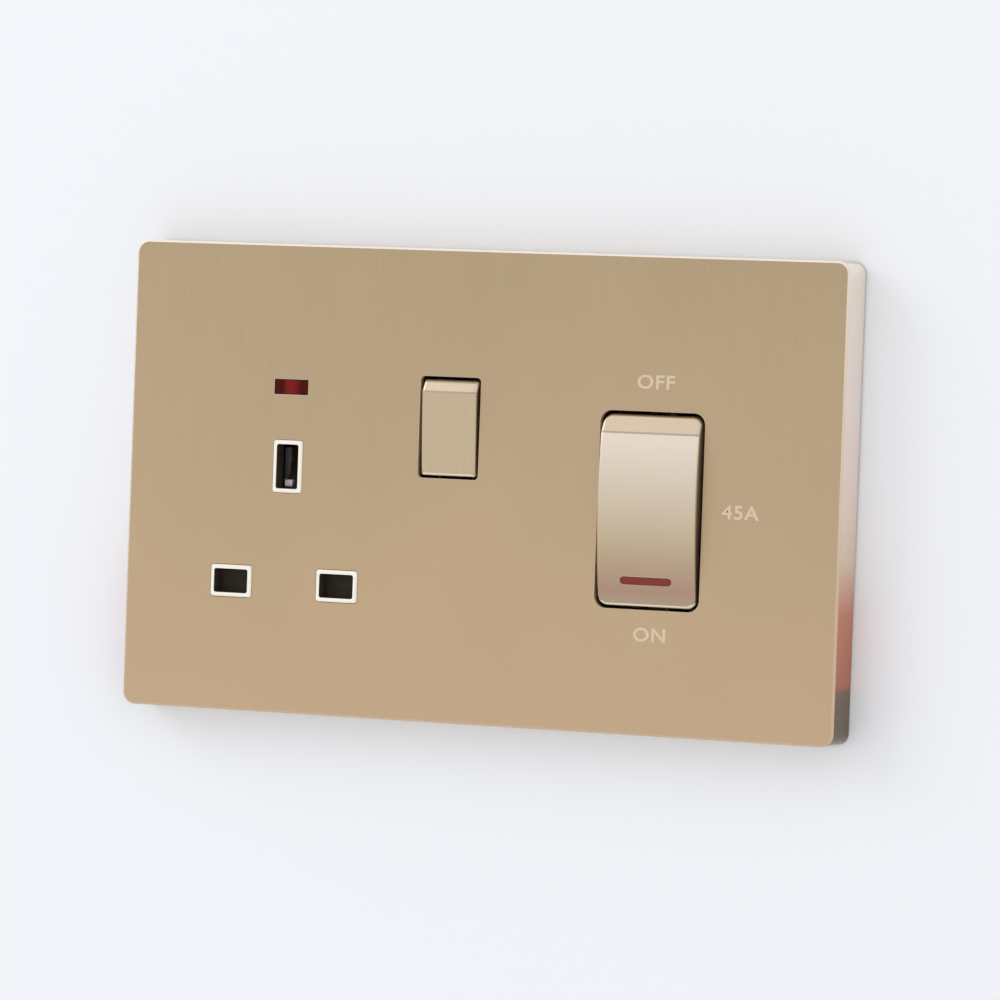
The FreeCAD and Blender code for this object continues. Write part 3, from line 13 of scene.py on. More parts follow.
import bmesh
import bpy
from mathutils import Matrix, Vector

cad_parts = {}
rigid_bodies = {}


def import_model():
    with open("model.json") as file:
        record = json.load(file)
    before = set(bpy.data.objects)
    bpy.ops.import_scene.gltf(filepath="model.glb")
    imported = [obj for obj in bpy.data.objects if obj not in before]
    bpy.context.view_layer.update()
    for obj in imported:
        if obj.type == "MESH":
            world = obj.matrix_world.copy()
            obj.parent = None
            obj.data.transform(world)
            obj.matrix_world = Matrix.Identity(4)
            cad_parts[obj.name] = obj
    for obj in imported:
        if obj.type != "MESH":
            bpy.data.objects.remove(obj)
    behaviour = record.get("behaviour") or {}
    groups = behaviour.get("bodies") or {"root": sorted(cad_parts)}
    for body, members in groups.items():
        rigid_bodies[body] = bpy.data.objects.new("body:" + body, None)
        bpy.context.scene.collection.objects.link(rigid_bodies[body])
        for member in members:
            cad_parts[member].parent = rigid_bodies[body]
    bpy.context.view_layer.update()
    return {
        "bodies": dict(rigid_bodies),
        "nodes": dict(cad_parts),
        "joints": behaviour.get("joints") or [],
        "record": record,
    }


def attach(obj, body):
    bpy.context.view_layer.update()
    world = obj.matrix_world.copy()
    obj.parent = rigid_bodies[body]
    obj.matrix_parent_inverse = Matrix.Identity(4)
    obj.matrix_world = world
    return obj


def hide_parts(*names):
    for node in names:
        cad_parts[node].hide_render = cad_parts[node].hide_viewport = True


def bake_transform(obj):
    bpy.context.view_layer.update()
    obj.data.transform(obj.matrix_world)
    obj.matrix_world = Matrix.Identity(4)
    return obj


MM = 0.001
MICRON = 0.000001
LOG = logging.getLogger("cooker_control_unit")
MADE: dict[str, bpy.types.Material] = {}

Colour = tuple[float, float, float]
Point = tuple[float, float, float]
Stretch = tuple[float, float, float]
Span = tuple[float, float]
Socket = bpy.types.NodeSocket
Piece = bpy.types.Object
Form = bmesh.types.BMesh
Face = bmesh.types.BMFace
Edge = bmesh.types.BMEdge


class Body(Enum):
    """The rigid bodies of the unit that new pieces ride on, by their names in the record."""

    HOUSING = "housing"
    SOCKET_SWITCH = "socket_switch"
    COOKER_SWITCH = "cooker_switch"
    SHUTTER = "shutter_slide"


class Slot(Enum):
    """The record's material slots, kept on the reworked pieces beside their finishes."""

    PLATE = "champagne_plate"
    ROCKER = "rocker_metal"
    CREAM = "cream_moulding"
    LENS = "red_lens"
    INLAY = "red_inlay"
    SCREW = "zinc_screw"
    BASE = "base_moulding"
    FRAME = "frame_moulding"
    NYLON = "white_nylon"
    SPRING = "spring_steel"


def shade(red: float, green: float, blue: float) -> Colour:
    """Turns a screen colour into the linear colour that a shader takes, by the sRGB curve.

    Args:
        red: Red on a screen, 0 to 255.
        green: Green on a screen, 0 to 255.
        blue: Blue on a screen, 0 to 255.

    Returns:
        The linear red, green and blue, 0 to 1.
    """
    linear = []
    for part in (red, green, blue):
        level = part / 255
        linear.append(level / 12.92 if level <= 0.04045 else ((level + 0.055) / 1.055) ** 2.4)
    return (linear[0], linear[1], linear[2])


class Graph:
    """A material's node tree, with short calls for the nodes that the finishes share."""

    def __init__(self, name: str) -> None:
        """Starts a material with one principled shader.

        Args:
            name: The material's name.
        """
        self.material = bpy.data.materials.new(name)
        self.material.use_nodes = True
        self.tree = self.material.node_tree
        self.shader = self.tree.nodes["Principled BSDF"]
        self.output = self.tree.nodes["Material Output"]

    def node(self, kind: str, **settings: object) -> bpy.types.Node:
        """Adds a node and sets its properties.

        Args:
            kind: Blender's name for the kind of node.
            **settings: Properties of the node.

        Returns:
            The new node.
        """
        made = self.tree.nodes.new(kind)
        for key, value in settings.items():
            setattr(made, key, value)
        return made

    def link(self, start: Socket, end: Socket) -> None:
        """Joins the socket that gives a value to the one that takes it."""
        self.tree.links.new(start, end)

    def place(self, stretch: Stretch = (1.0, 1.0, 1.0)) -> Socket:
        """The point's place on the unit, scaled along each axis.

        Args:
            stretch: How many pattern cells there are to a metre along X, Y and Z.

        Returns:
            The scaled place.
        """
        coordinates = self.node("ShaderNodeTexCoord")
        mapping = self.node("ShaderNodeMapping")
        mapping.inputs["Scale"].default_value = stretch
        self.link(coordinates.outputs["Object"], mapping.inputs["Vector"])
        return mapping.outputs["Vector"]

    def grain(self, stretch: Stretch, detail: float = 3.0, rough: float = 0.55) -> Socket:
        """A noise pattern between 0 and 1.

        Args:
            stretch: Cells to a metre along X, Y and Z.
            detail: How many finer layers the pattern has.
            rough: How strong the finer layers are.

        Returns:
            The pattern's value.
        """
        noise = self.node("ShaderNodeTexNoise")
        noise.inputs["Scale"].default_value = 1.0
        noise.inputs["Detail"].default_value = detail
        noise.inputs["Roughness"].default_value = rough
        self.link(self.place(stretch), noise.inputs["Vector"])
        return noise.outputs["Fac"]

    def ramp(self, value: Socket, stops: tuple[tuple[float, Colour], ...]) -> Socket:
        """Turns a value into a colour.

        Args:
            value: The value to look up.
            stops: Places between 0 and 1, each with its linear colour.

        Returns:
            The colour.
        """
        made = self.node("ShaderNodeValToRGB")
        elements = made.color_ramp.elements
        while len(elements) < len(stops):
            elements.new(0.5)
        for element, (place, colour) in zip(elements, stops):
            element.position = place
            element.color = (*colour, 1.0)
        self.link(value, made.inputs["Fac"])
        return made.outputs["Color"]

    def level(self, value: Socket, low: float, high: float) -> Socket:
        """Spreads a value of 0 to 1 over another range.

        Args:
            value: The value.
            low: What 0 becomes.
            high: What 1 becomes.

        Returns:
            The spread value.
        """
        made = self.node("ShaderNodeMapRange")
        made.inputs["To Min"].default_value = low
        made.inputs["To Max"].default_value = high
        self.link(value, made.inputs["Value"])
        return made.outputs["Result"]

    def share(self, axis: str, span: Span) -> Socket:
        """How far along a stretch of the unit the point lies.

        Args:
            axis: X, Y or Z.
            span: Where the stretch starts and ends on that axis, in metres.

        Returns:
            0 at the start to 1 at the end.
        """
        split = self.node("ShaderNodeSeparateXYZ")
        self.link(self.place(), split.inputs["Vector"])
        made = self.node("ShaderNodeMapRange")
        made.inputs["From Min"].default_value = span[0]
        made.inputs["From Max"].default_value = span[1]
        self.link(split.outputs[axis], made.inputs["Value"])
        return made.outputs["Result"]

    def bump(self, value: Socket, depth: float, strength: float) -> None:
        """Raises the surface by a pattern.

        Args:
            value: The pattern.
            depth: The height of the pattern in metres.
            strength: How much of the bump shows.
        """
        made = self.node("ShaderNodeBump")
        made.inputs["Strength"].default_value = strength
        made.inputs["Distance"].default_value = depth
        self.link(value, made.inputs["Height"])
        self.link(made.outputs["Normal"], self.shader.inputs["Normal"])

    def set(self, **values: float) -> None:
        """Sets plain values on the shader, named by its sockets with underscores for spaces."""
        for key, value in values.items():
            self.shader.inputs[key.replace("_", " ")].default_value = value


@dataclass(frozen=True)
class Finish:
    """What every finish has: a name, its gloss, and the fine grain that varies and raises it.

    Attributes:
        name: The material's name.
        metallic: 1 for bare metal, 0 for a moulding.
        roughness: The lowest and highest roughness over the grain.
        stretch: The grain's cells to a metre along X, Y and Z.
        detail: How many finer layers the grain has.
        rough: How strong those layers are.
        depth: The height of the grain's bump.
        strength: How much of the bump shows.
        coat: The weight of a clear coat.
        shine: The level of the gloss, where 0.5 is a common plastic's.
    """

    name: str
    _: KW_ONLY
    metallic: float = 0.0
    roughness: Span = (0.4, 0.5)
    stretch: Stretch = (900.0, 900.0, 900.0)
    detail: float = 3.0
    rough: float = 0.55
    depth: float = 10 * MICRON
    strength: float = 1.0
    coat: float = 0.0
    shine: float = 0.5

    def material(self) -> bpy.types.Material:
        """Builds the finish once and returns it after that.

        Returns:
            The finish's material.
        """
        if self.name not in MADE:
            graph = Graph(self.name)
            self.dress(graph)
            MADE[self.name] = graph.material
        return MADE[self.name]

    def dress(self, graph: Graph) -> None:
        """Sets up the shader for this finish.

        Args:
            graph: The material's nodes.
        """
        grain = graph.grain(self.stretch, self.detail, self.rough)
        graph.link(self.tone(graph, grain), graph.shader.inputs["Base Color"])
        graph.link(graph.level(grain, *self.roughness), graph.shader.inputs["Roughness"])
        graph.bump(grain, self.depth, self.strength)
        graph.set(Metallic=self.metallic, Coat_Weight=self.coat, Specular_IOR_Level=self.shine)

    def tone(self, graph: Graph, grain: Socket) -> Socket:
        """Gives the colour over the surface, which each kind of finish does in its own way."""
        raise NotImplementedError


@dataclass(frozen=True)
class TwoTone(Finish):
    """A finish of two close colours mixed by its grain."""

    first: Colour
    second: Colour
    _: KW_ONLY
    contrast: Span = (0.3, 0.7)

    def tone(self, graph: Graph, grain: Socket) -> Socket:
        """Mixes the two colours by the grain."""
        return graph.ramp(grain, ((self.contrast[0], self.first), (self.contrast[1], self.second)))


@dataclass(frozen=True)
class BrushedPlate(TwoTone):
    """Champagne plating brushed from top to bottom, with painted light that makes it a little brighter
    towards the foot.
    """

    # The foot's colour is painted light: the plate is lighter towards its foot.
    foot: Colour
    _: KW_ONLY
    detail: float = 4.0
    rough: float = 0.7
    contrast: Span = (0.25, 0.75)
    span: Span = (44.5 * MM, -44.5 * MM)
    cloud: Stretch = (34.0, 34.0, 22.0)
    cloud_share: Span = (-0.3, 0.3)

    def tone(self, graph: Graph, grain: Socket) -> Socket:
        """Fades the brushed colour into the foot's lighter colour, which is painted light, with soft
        clouds in between.

        Args:
            graph: The material's nodes.
            grain: The brushed lines.

        Returns:
            The colour.
        """
        brushed = super().tone(graph, grain)
        clouds = graph.level(graph.grain(self.cloud, detail=1.0), *self.cloud_share)
        total = graph.node("ShaderNodeMath", operation="ADD", use_clamp=True)
        graph.link(graph.share("Z", self.span), total.inputs[0])
        graph.link(clouds, total.inputs[1])
        blend = graph.node("ShaderNodeMix", data_type="RGBA")
        graph.link(total.outputs["Value"], blend.inputs["Factor"])
        graph.link(brushed, blend.inputs["A"])
        blend.inputs["B"].default_value = (*self.foot, 1.0)
        return blend.outputs["Result"]


@dataclass(frozen=True)
class Graded(Finish):
    """Metal whose tone runs from one colour to the next, from its foot to its top; in this script that
    run is painted light, painted shade or a painted reflection.
    """

    stops: tuple[tuple[float, Colour], ...]
    _: KW_ONLY
    detail: float = 2.0
    strength: float = 0.5
    span: Span = (-44.5 * MM, 44.5 * MM)

    def tone(self, graph: Graph, grain: Socket) -> Socket:
        """Looks the colour up by the point's height; the grain only varies gloss and bump."""
        return graph.ramp(graph.share("Z", self.span), self.stops)


@dataclass(frozen=True)
class ClearGlass(TwoTone):
    """Clear glass."""

    _: KW_ONLY
    clearness: float = 0.95
    index: float = 1.5

    def dress(self, graph: Graph) -> None:
        """Sets up the shader as the base finish does, and lets light through it."""
        super().dress(graph)
        graph.set(Transmission_Weight=self.clearness, IOR=self.index)


@dataclass(frozen=True)
class PaintedGlowLens(TwoTone):
    """Red lens, dark at its ends and brighter where the lamp stands behind it; the brightening is a
    painted glow.
    """

    _: KW_ONLY
    detail: float = 1.0
    span: Span = (-42.55 * MM, -35.65 * MM)
    fade_in: Span = (0.22, 0.36)
    fade_out: Span = (0.56, 0.78)

    def tone(self, graph: Graph, grain: Socket) -> Socket:
        """Paints a glow on the lens in front of the lamp.

        Args:
            graph: The material's nodes.
            grain: The fine grain, which this finish only takes for its gloss and bump.

        Returns:
            The colour.
        """
        return graph.ramp(graph.share("X", self.span), (
            (self.fade_in[0], self.first), (self.fade_in[1], self.second),
            (self.fade_out[0], self.second), (self.fade_out[1], self.first)))


POLISHED = {"metallic": 0.85, "stretch": (300.0, 300.0, 2500.0), "depth": 2 * MICRON}
SATIN = {"metallic": 0.88, "roughness": (0.25, 0.28), "stretch": (2400.0, 2400.0, 90.0),
         "depth": 0.3 * MICRON}

# The third colour is the foot's painted light.
PLATE = BrushedPlate(
    "champagne_brushed", shade(178, 157, 124), shade(186, 166, 133), shade(199, 173, 140),
    metallic=0.9, roughness=(0.42, 0.52), stretch=(5200.0, 5200.0, 90.0), depth=3 * MICRON)
# The side bands' run from dark olive through copper to cream is a painted reflection of the surroundings,
# laid on by height.
EDGE = Graded(
    "polished_edge_painted_reflection",
    ((0.0, shade(92, 90, 66)), (0.11, shade(126, 98, 74)), (0.125, shade(186, 112, 84)),
     (0.2, shade(195, 124, 93)), (0.27, shade(204, 133, 106)), (0.31, shade(214, 164, 142)),
     (0.38, shade(227, 208, 181)), (0.5, shade(240, 221, 207)), (0.7, shade(244, 231, 221)),
     (1.0, shade(245, 235, 220))),
    roughness=(0.12, 0.2), **POLISHED)
# The bevel's bright colours are a painted highlight, brightest at the top of the plate as if lit from
# above.
HIGHLIGHT_BEVEL = Graded(
    "bevel_painted_highlight",
    ((0.0, shade(210, 182, 152)), (0.3, shade(211, 184, 155)), (0.45, shade(219, 198, 172)),
     (0.8, shade(230, 213, 190)), (0.98, shade(236, 222, 203)), (1.0, shade(250, 238, 226))),
    roughness=(0.3, 0.4), **POLISHED)
TOP_EDGE = TwoTone("polished_top_edge", shade(214, 198, 174), shade(222, 206, 182), metallic=0.85,
                   roughness=(0.2, 0.3), stretch=(2500.0, 300.0, 300.0), depth=2 * MICRON)
WINDOW = TwoTone("plated_window_wall", shade(204, 180, 146), shade(212, 188, 154), metallic=0.4,
                 depth=2 * MICRON)
PLATE_BACK = TwoTone("raw_plate_back", shade(122, 112, 98), shade(138, 128, 112), metallic=0.9,
                     roughness=(0.4, 0.55), stretch=(1400.0, 1400.0, 200.0))
# The run from pale at the top to darker at the foot is painted light and shade, standing in for light
# falling from above.
LARGE_ROCKER_PAINTED_LIGHT = Graded(
    "satin_champagne",
    ((0.0, shade(177, 159, 135)), (0.065, shade(177, 146, 126)), (0.235, shade(188, 167, 138)),
     (0.345, shade(198, 181, 151)), (0.66, shade(221, 207, 187)), (0.885, shade(235, 222, 205))),
    span=(-20.0 * MM, 14.0 * MM), **SATIN)
SMALL_ROCKER = TwoTone("satin_champagne_small", shade(199, 180, 150), shade(203, 184, 154), **SATIN)
# The top band is a lighter copy of the rocker's satin metal: painted light where the band faces up.
LIT_TOP_BAND = TwoTone("satin_top_band_painted_light", shade(216, 196, 170), shade(220, 200, 174), **SATIN)
# The crease's darker line is painted shade along the fold under the top band.
CREASE_SHADE = TwoTone("crease_painted_shade", shade(178, 162, 142), shade(182, 166, 146), metallic=0.8,
                 roughness=(0.35, 0.45), depth=0.3 * MICRON)
# The bright rim along the downward faces of the rocker's foot is a painted highlight.
HIGHLIGHT_RIM = TwoTone("painted_highlight_rim", shade(250, 238, 216), shade(254, 244, 226), metallic=0.2,
              roughness=(0.3, 0.4), depth=0.3 * MICRON)
CREAM = TwoTone("cream_collar", shade(252, 246, 230), shade(255, 250, 238), roughness=(0.25, 0.35),
                coat=0.3)
# Black moulding's own colour; on the pin insert's hole walls and the earth cam the same dark colour is
# painted shade.
BLACK_AND_HOLE_SHADE = TwoTone("black_and_hole_shade", shade(60, 53, 43), shade(70, 62, 51), roughness=(0.55, 0.7), shine=0.15)
NIB = TwoTone("white_nib", shade(252, 251, 246), shade(255, 255, 252), roughness=(0.3, 0.4), shine=0.6)
BASE = TwoTone("pale_grey_moulding", shade(214, 212, 205), shade(223, 221, 214), roughness=(0.42, 0.55),
               stretch=(500.0, 500.0, 500.0), depth=20 * MICRON)
FRAME = TwoTone("dark_grey_moulding", shade(66, 66, 68), shade(76, 76, 78), roughness=(0.45, 0.6),
                depth=20 * MICRON)
NYLON = TwoTone("natural_nylon", shade(226, 224, 216), shade(236, 234, 226))
STRIP = TwoTone("rolled_brass", shade(205, 166, 92), shade(221, 186, 112), metallic=1.0,
                roughness=(0.25, 0.4), stretch=(200.0, 2400.0, 200.0))
BAR = TwoTone("drawn_brass", shade(196, 158, 84), shade(214, 178, 104), metallic=1.0,
              roughness=(0.3, 0.42), stretch=(200.0, 200.0, 2600.0))
ZINC = TwoTone("bright_zinc", shade(190, 192, 190), shade(210, 212, 210), metallic=1.0,
               roughness=(0.25, 0.4))
WIRE = TwoTone("spring_wire", shade(168, 170, 172), shade(190, 192, 194), metallic=1.0,
               roughness=(0.2, 0.3))
LENS = PaintedGlowLens("neon_lens_red", shade(72, 8, 2), shade(126, 24, 28), roughness=(0.3, 0.4), shine=0.1)
INLAY = TwoTone("rocker_bar_red", shade(124, 52, 40), shade(134, 60, 48), shine=0.2)
GLASS = ClearGlass("clear_lamp_glass", shade(240, 238, 232), shade(246, 244, 240), roughness=(0.02, 0.05))
RESISTOR = TwoTone("coated_resistor", shade(160, 134, 98), shade(176, 148, 110), roughness=(0.5, 0.6))
INK = TwoTone("pale_print", shade(217, 198, 168), shade(223, 204, 174), roughness=(0.5, 0.6), shine=0.3)

SLOT_FINISHES: dict[str, Finish] = {
    "champagne_plate": PLATE, "rocker_metal": LARGE_ROCKER_PAINTED_LIGHT, "cream_moulding": CREAM,
    "black_moulding": BLACK_AND_HOLE_SHADE, "base_moulding": BASE, "frame_moulding": FRAME, "white_nylon": NYLON,
    "spring_steel": WIRE, "contact_brass": STRIP, "terminal_brass": BAR, "zinc_screw": ZINC,
    "red_lens": LENS, "red_inlay": INLAY, "lamp_glass": GLASS, "resistor_body": RESISTOR,
}


def link_in(name: str, mesh: bpy.types.Mesh) -> Piece:
    """Puts a mesh into the scene.

    Args:
        name: The piece's name.
        mesh: Its mesh.

    Returns:
        The piece.
    """
    piece = bpy.data.objects.new(name, mesh)
    bpy.context.scene.collection.objects.link(piece)
    return piece


def finished(name: str, shape: Form) -> bpy.types.Mesh:
    """Turns a form into a mesh and frees the form.

    Args:
        name: The mesh's name.
        shape: The form.

    Returns:
        The mesh.
    """
    mesh = bpy.data.meshes.new(name)
    shape.to_mesh(mesh)
    shape.free()
    return mesh


def skin(shape: Form, rings: list[list[bmesh.types.BMVert]], smooth: bool) -> None:
    """Covers rings of points with a closed tube.

    Args:
        shape: The form that the points are in.
        rings: The rings, in order along the tube.
        smooth: Whether the tube's side is shaded smooth.
    """
    for near, far in zip(rings, rings[1:]):
        for side in range(len(near)):
            after = (side + 1) % len(near)
            shape.faces.new((near[side], near[after], far[after], far[side])).smooth = smooth
    shape.faces.new(rings[0])
    shape.faces.new(list(reversed(rings[-1])))
    bmesh.ops.recalc_face_normals(shape, faces=shape.faces)


def block(size: Point) -> Form:
    """Makes a square-edged block round the origin, to be worked further.

    Args:
        size: Its size along X, Y and Z.

    Returns:
        The form.
    """
    shape = bmesh.new()
    bmesh.ops.create_cube(shape, size=1.0)
    bmesh.ops.scale(shape, vec=size, verts=shape.verts)
    return shape


def paint(piece: Piece, *finishes: Finish) -> None:
    """Gives a piece its finishes.

    Args:
        piece: The piece.
        *finishes: The finishes, in the order of its faces' material numbers.
    """
    for number, finish in enumerate(finishes):
        if number < len(piece.data.materials):
            piece.data.materials[number] = finish.material()
        else:
            piece.data.materials.append(finish.material())


@dataclass
class Reworked:
    """A node's own form with its edges broken and its faces sorted between finishes.

    Attributes:
        node: The node that the piece stands for.
        body: The body that it rides on.
        slot: The record's slot that its finish comes from; not used.
        finishes: Its finishes, in the order of the numbers that finish_of gives.
        edge: How far the rounding reaches on each side of a sharp edge.
        segments: How many faces the rounding has.
        line: How far a fine line's rounding reaches, or 0 where there is no line.
        line_height: The line's height.
        line_reach: How far off that height a point of the line may lie.
        pocket: The left, right, lowest and highest bounds of a pocket whose edges stay crisp.
        pocket_edge: How far the rounding of those edges reaches.
        fine_segments: How many faces the line's and the pocket's roundings have.
        sharp: The angle above which an edge is rounded.
        faint: The same angle for the fine line.
        flat: The angle below which two faces become one.
        weld: The distance below which two points become one.
    """

    node: str
    body: Body
    slot: Slot
    finishes: tuple[Finish, ...]
    edge: float
    segments: int = 2
    line: float = 0.0
    line_height: float = 0.0
    line_reach: float = 0.02 * MM
    pocket: tuple[float, float, float, float] = (0.0, 0.0, 0.0, 0.0)
    pocket_edge: float = 0.06 * MM
    fine_segments: int = 2
    sharp: float = math.radians(28)
    faint: float = math.radians(10)
    flat: float = math.radians(1)
    weld: float = 0.001 * MM

    def finish_of(self, face: Face) -> int:
        """Sorts every face to the first finish, for a piece that has only one."""
        return 0

    def on_line(self, edge: Edge) -> bool:
        """Tells whether an edge lies along the fine line."""
        return all(abs(vert.co.z - self.line_height) < self.line_reach for vert in edge.verts)

    def in_pocket(self, edge: Edge) -> bool:
        """Tells whether an edge lies within the pocket's bounds."""
        left, right, foot, top = self.pocket
        return all(left < vert.co.x < right and foot < vert.co.z < top for vert in edge.verts)

    def soften(self, shape: Form, offset: float, segments: int, sharp: float,
               wanted: Callable[[Edge], bool]) -> None:
        """Rounds the sharp edges that are wanted.

        Args:
            shape: The form.
            offset: How far the rounding reaches on each side.
            segments: How many faces it has.
            sharp: The angle above which an edge is sharp.
            wanted: Tells whether an edge is rounded.
        """
        corners = [edge for edge in shape.edges
                   if len(edge.link_faces) == 2 and edge.calc_face_angle(0.0) > sharp and wanted(edge)]
        bmesh.ops.bevel(shape, geom=corners, offset=offset, offset_type="OFFSET", affect="EDGES",
                        segments=segments, profile=0.5, clamp_overlap=False)

    def build(self, frame: dict) -> Piece:
        """Makes the piece and lets it stand for its node.

        Args:
            frame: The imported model.

        Returns:
            The finished piece.
        """
        shape = bmesh.new()
        shape.from_mesh(frame["nodes"][self.node].data)
        bmesh.ops.remove_doubles(shape, verts=shape.verts, dist=self.weld)
        bmesh.ops.dissolve_limit(shape, angle_limit=self.flat, verts=shape.verts, edges=shape.edges)
        if self.line:
            self.soften(shape, self.line, self.fine_segments, self.faint, self.on_line)
        self.soften(shape, self.pocket_edge, self.fine_segments, self.sharp, self.in_pocket)
        self.soften(shape, self.edge, self.segments, self.sharp, lambda edge: not self.in_pocket(edge))
        for face in shape.faces:
            face.smooth = True
            face.material_index = self.finish_of(face)
        mesh = finished(f"{self.node}_dressed", shape)
        if "custom_normal" in mesh.attributes:
            mesh.attributes.remove(mesh.attributes["custom_normal"])
        piece = link_in(f"{self.node}_dressed", mesh)
        paint(piece, *self.finishes)
        shading = piece.modifiers.new("even_shading", "WEIGHTED_NORMAL")
        shading.keep_sharp = True
        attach(piece, self.body.value)
        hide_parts(self.node)
        return piece


@dataclass
class Inside:
    """The nodes that keep their packed form and only take a finish.

    Attributes:
        dark_cam: The one node whose finish isn't its slot's: the white nylon cam is painted dark as shade
            in the earth hole.
    """

    dark_cam: str = "earth_cam"

    def build(self, frame: dict) -> list[Piece]:
        """Dresses the nodes.

        Args:
            frame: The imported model.

        Returns:
            The nodes' objects.
        """
        slots = {part["node"]: part["material_slot"] for part in frame["record"]["subparts"]}
        for name, node in frame["nodes"].items():
            # The earth cam takes the dark finish as painted shade inside the earth hole.
            paint(node, BLACK_AND_HOLE_SHADE if name == self.dark_cam else SLOT_FINISHES[slots[name]])
        return list(frame["nodes"].values())


@dataclass
class RearHousing(Reworked):
    """The moulded base behind the plate."""

    node: str = "rear_housing"
    body: Body = Body.HOUSING
    slot: Slot = Slot.BASE
    finishes: tuple[Finish, ...] = (BASE,)
    edge: float = 0.25 * MM


@dataclass
class MountingFrame(Reworked):
    """The moulded frame that the plate clips on."""

    node: str = "mounting_frame"
    body: Body = Body.HOUSING
    slot: Slot = Slot.FRAME
    finishes: tuple[Finish, ...] = (FRAME,)
    edge: float = 0.25 * MM


@dataclass
class FacePlate(Reworked):
    """The pressed plate: brushed front, polished band round the sides with a painted reflection, bevel
    between them with a painted highlight.

    Attributes:
        half_width: Half the plate's width.
        half_height: Half its height.
        depth: How far its front stands out from the wall.
        back: How far the inner side of its front stands out.
        skin: How far behind a plane a face may lie and still count to it.
        corner: How far in from the outer sides a face may lie and still belong to the band.
        bevel_depth: How far behind the front the bevel may lie.
    """

    node: str = "face_plate"
    body: Body = Body.HOUSING
    slot: Slot = Slot.PLATE
    finishes: tuple[Finish, ...] = (PLATE, EDGE, HIGHLIGHT_BEVEL, PLATE_BACK, TOP_EDGE, WINDOW)
    edge: float = 0.06 * MM
    half_width: float = 73.0 * MM
    half_height: float = 44.5 * MM
    depth: float = 8.2 * MM
    back: float = 7.0 * MM
    skin: float = 0.05 * MM
    corner: float = 2.45 * MM
    bevel_depth: float = 0.4 * MM

    def finish_of(self, face: Face) -> int:
        """Sorts a face by where it lies and which way it looks.

        Args:
            face: A face of the plate.

        Returns:
            0 for the brushed front, 1 for the polished band at the sides with its painted reflection, 2
            for the bevel with its painted highlight, 3 for the inside, 4 for the polished top and foot, 5
            for the walls of the windows.
        """
        middle, normal = face.calc_center_median(), face.normal
        at_side = abs(middle.x) > self.half_width - self.corner
        at_end = abs(middle.z) > self.half_height - self.corner
        outward = normal.x * middle.x + normal.z * middle.z > 0
        if normal.y < -0.98 and middle.y < self.skin - self.depth:
            return 0
        if (at_side or at_end) and outward and abs(normal.y) < 0.2:
            return 1 if abs(normal.x) > 0.5 else 4
        if middle.y < self.bevel_depth - self.depth and normal.y < -0.1:
            return 2
        if middle.y < self.skin - self.back and abs(normal.y) < 0.3:
            return 5
        return 3


@dataclass
class SocketRocker(Reworked):
    """The socket's metal rocker, with a crease under its top band; the crease carries a painted shade
    line, the top band painted light and the foot's rim a painted highlight.

    Attributes:
        front: The place along Y in front of which the foot's rim takes the painted highlight.
    """

    node: str = "socket_rocker"
    body: Body = Body.SOCKET_SWITCH
    slot: Slot = Slot.ROCKER
    finishes: tuple[Finish, ...] = (SMALL_ROCKER, CREASE_SHADE, HIGHLIGHT_RIM, LIT_TOP_BAND)
    edge: float = 0.65 * MM
    segments: int = 5
    line: float = 0.2 * MM
    line_height: float = 17.675 * MM
    front: float = -6.9 * MM

    def finish_of(self, face: Face) -> int:
        """Sorts a face by where it lies and which way it looks.

        Args:
            face: A face of the rocker.

        Returns:
            0 for the satin metal, 1 for the crease's painted shade, 2 for the rim's painted highlight, 3
            for the top band's painted light.
        """
        middle, normal = face.calc_center_median(), face.normal
        if abs(middle.z - self.line_height) < self.line and normal.y < -0.5:
            return 1
        if middle.y < self.front and normal.z < -0.45:
            return 2
        return 3 if middle.z > self.line_height and normal.y < -0.3 else 0


@dataclass
class CookerRocker(SocketRocker):
    """The cooker switch's larger rocker, made the same way, with a pocket for the red bar; its satin
    metal is painted lighter at the top and darker at the foot.
    """

    node: str = "cooker_rocker"
    body: Body = Body.COOKER_SWITCH
    finishes: tuple[Finish, ...] = (LARGE_ROCKER_PAINTED_LIGHT, CREASE_SHADE, HIGHLIGHT_RIM, LIT_TOP_BAND)
    line_height: float = 11.575 * MM
    pocket: tuple[float, float, float, float] = (29.6 * MM, 40.6 * MM, -17.0 * MM, -14.6 * MM)


@dataclass
class RedBar(Reworked):
    """The red bar in the larger rocker's foot."""

    node: str = "rocker_flag"
    body: Body = Body.COOKER_SWITCH
    slot: Slot = Slot.INLAY
    finishes: tuple[Finish, ...] = (INLAY,)
    edge: float = 0.08 * MM


@dataclass
class PinInsert(Reworked):
    """The cream insert whose collars frame the three pin holes.

    Attributes:
        holes: The middle along X and Z of each hole, and half its width and height.
    """

    node: str = "socket_front"
    body: Body = Body.HOUSING
    slot: Slot = Slot.CREAM
    finishes: tuple[Finish, ...] = (CREAM, BLACK_AND_HOLE_SHADE)
    edge: float = 0.08 * MM
    holes: tuple[tuple[float, float, float, float], ...] = (
        (-50.6 * MM, -19.9 * MM, 3.6 * MM, 2.35 * MM),
        (-28.4 * MM, -19.9 * MM, 3.6 * MM, 2.35 * MM),
        (-39.5 * MM, 2.3 * MM, 2.35 * MM, 4.3 * MM))

    def finish_of(self, face: Face) -> int:
        """Sorts a face by where it lies and which way it looks.

        Args:
            face: A face of the insert.

        Returns:
            0 for the cream rims, 1 for the walls inside the pin holes, painted dark as shade.
        """
        middle, normal = face.calc_center_median(), face.normal
        for across, up, half_width, half_height in self.holes:
            inside = abs(middle.x - across) < half_width and abs(middle.z - up) < half_height
            # The cream walls inside the holes are painted dark as shade.
            if inside and abs(normal.y) < 0.4:
                return 1
        return 0


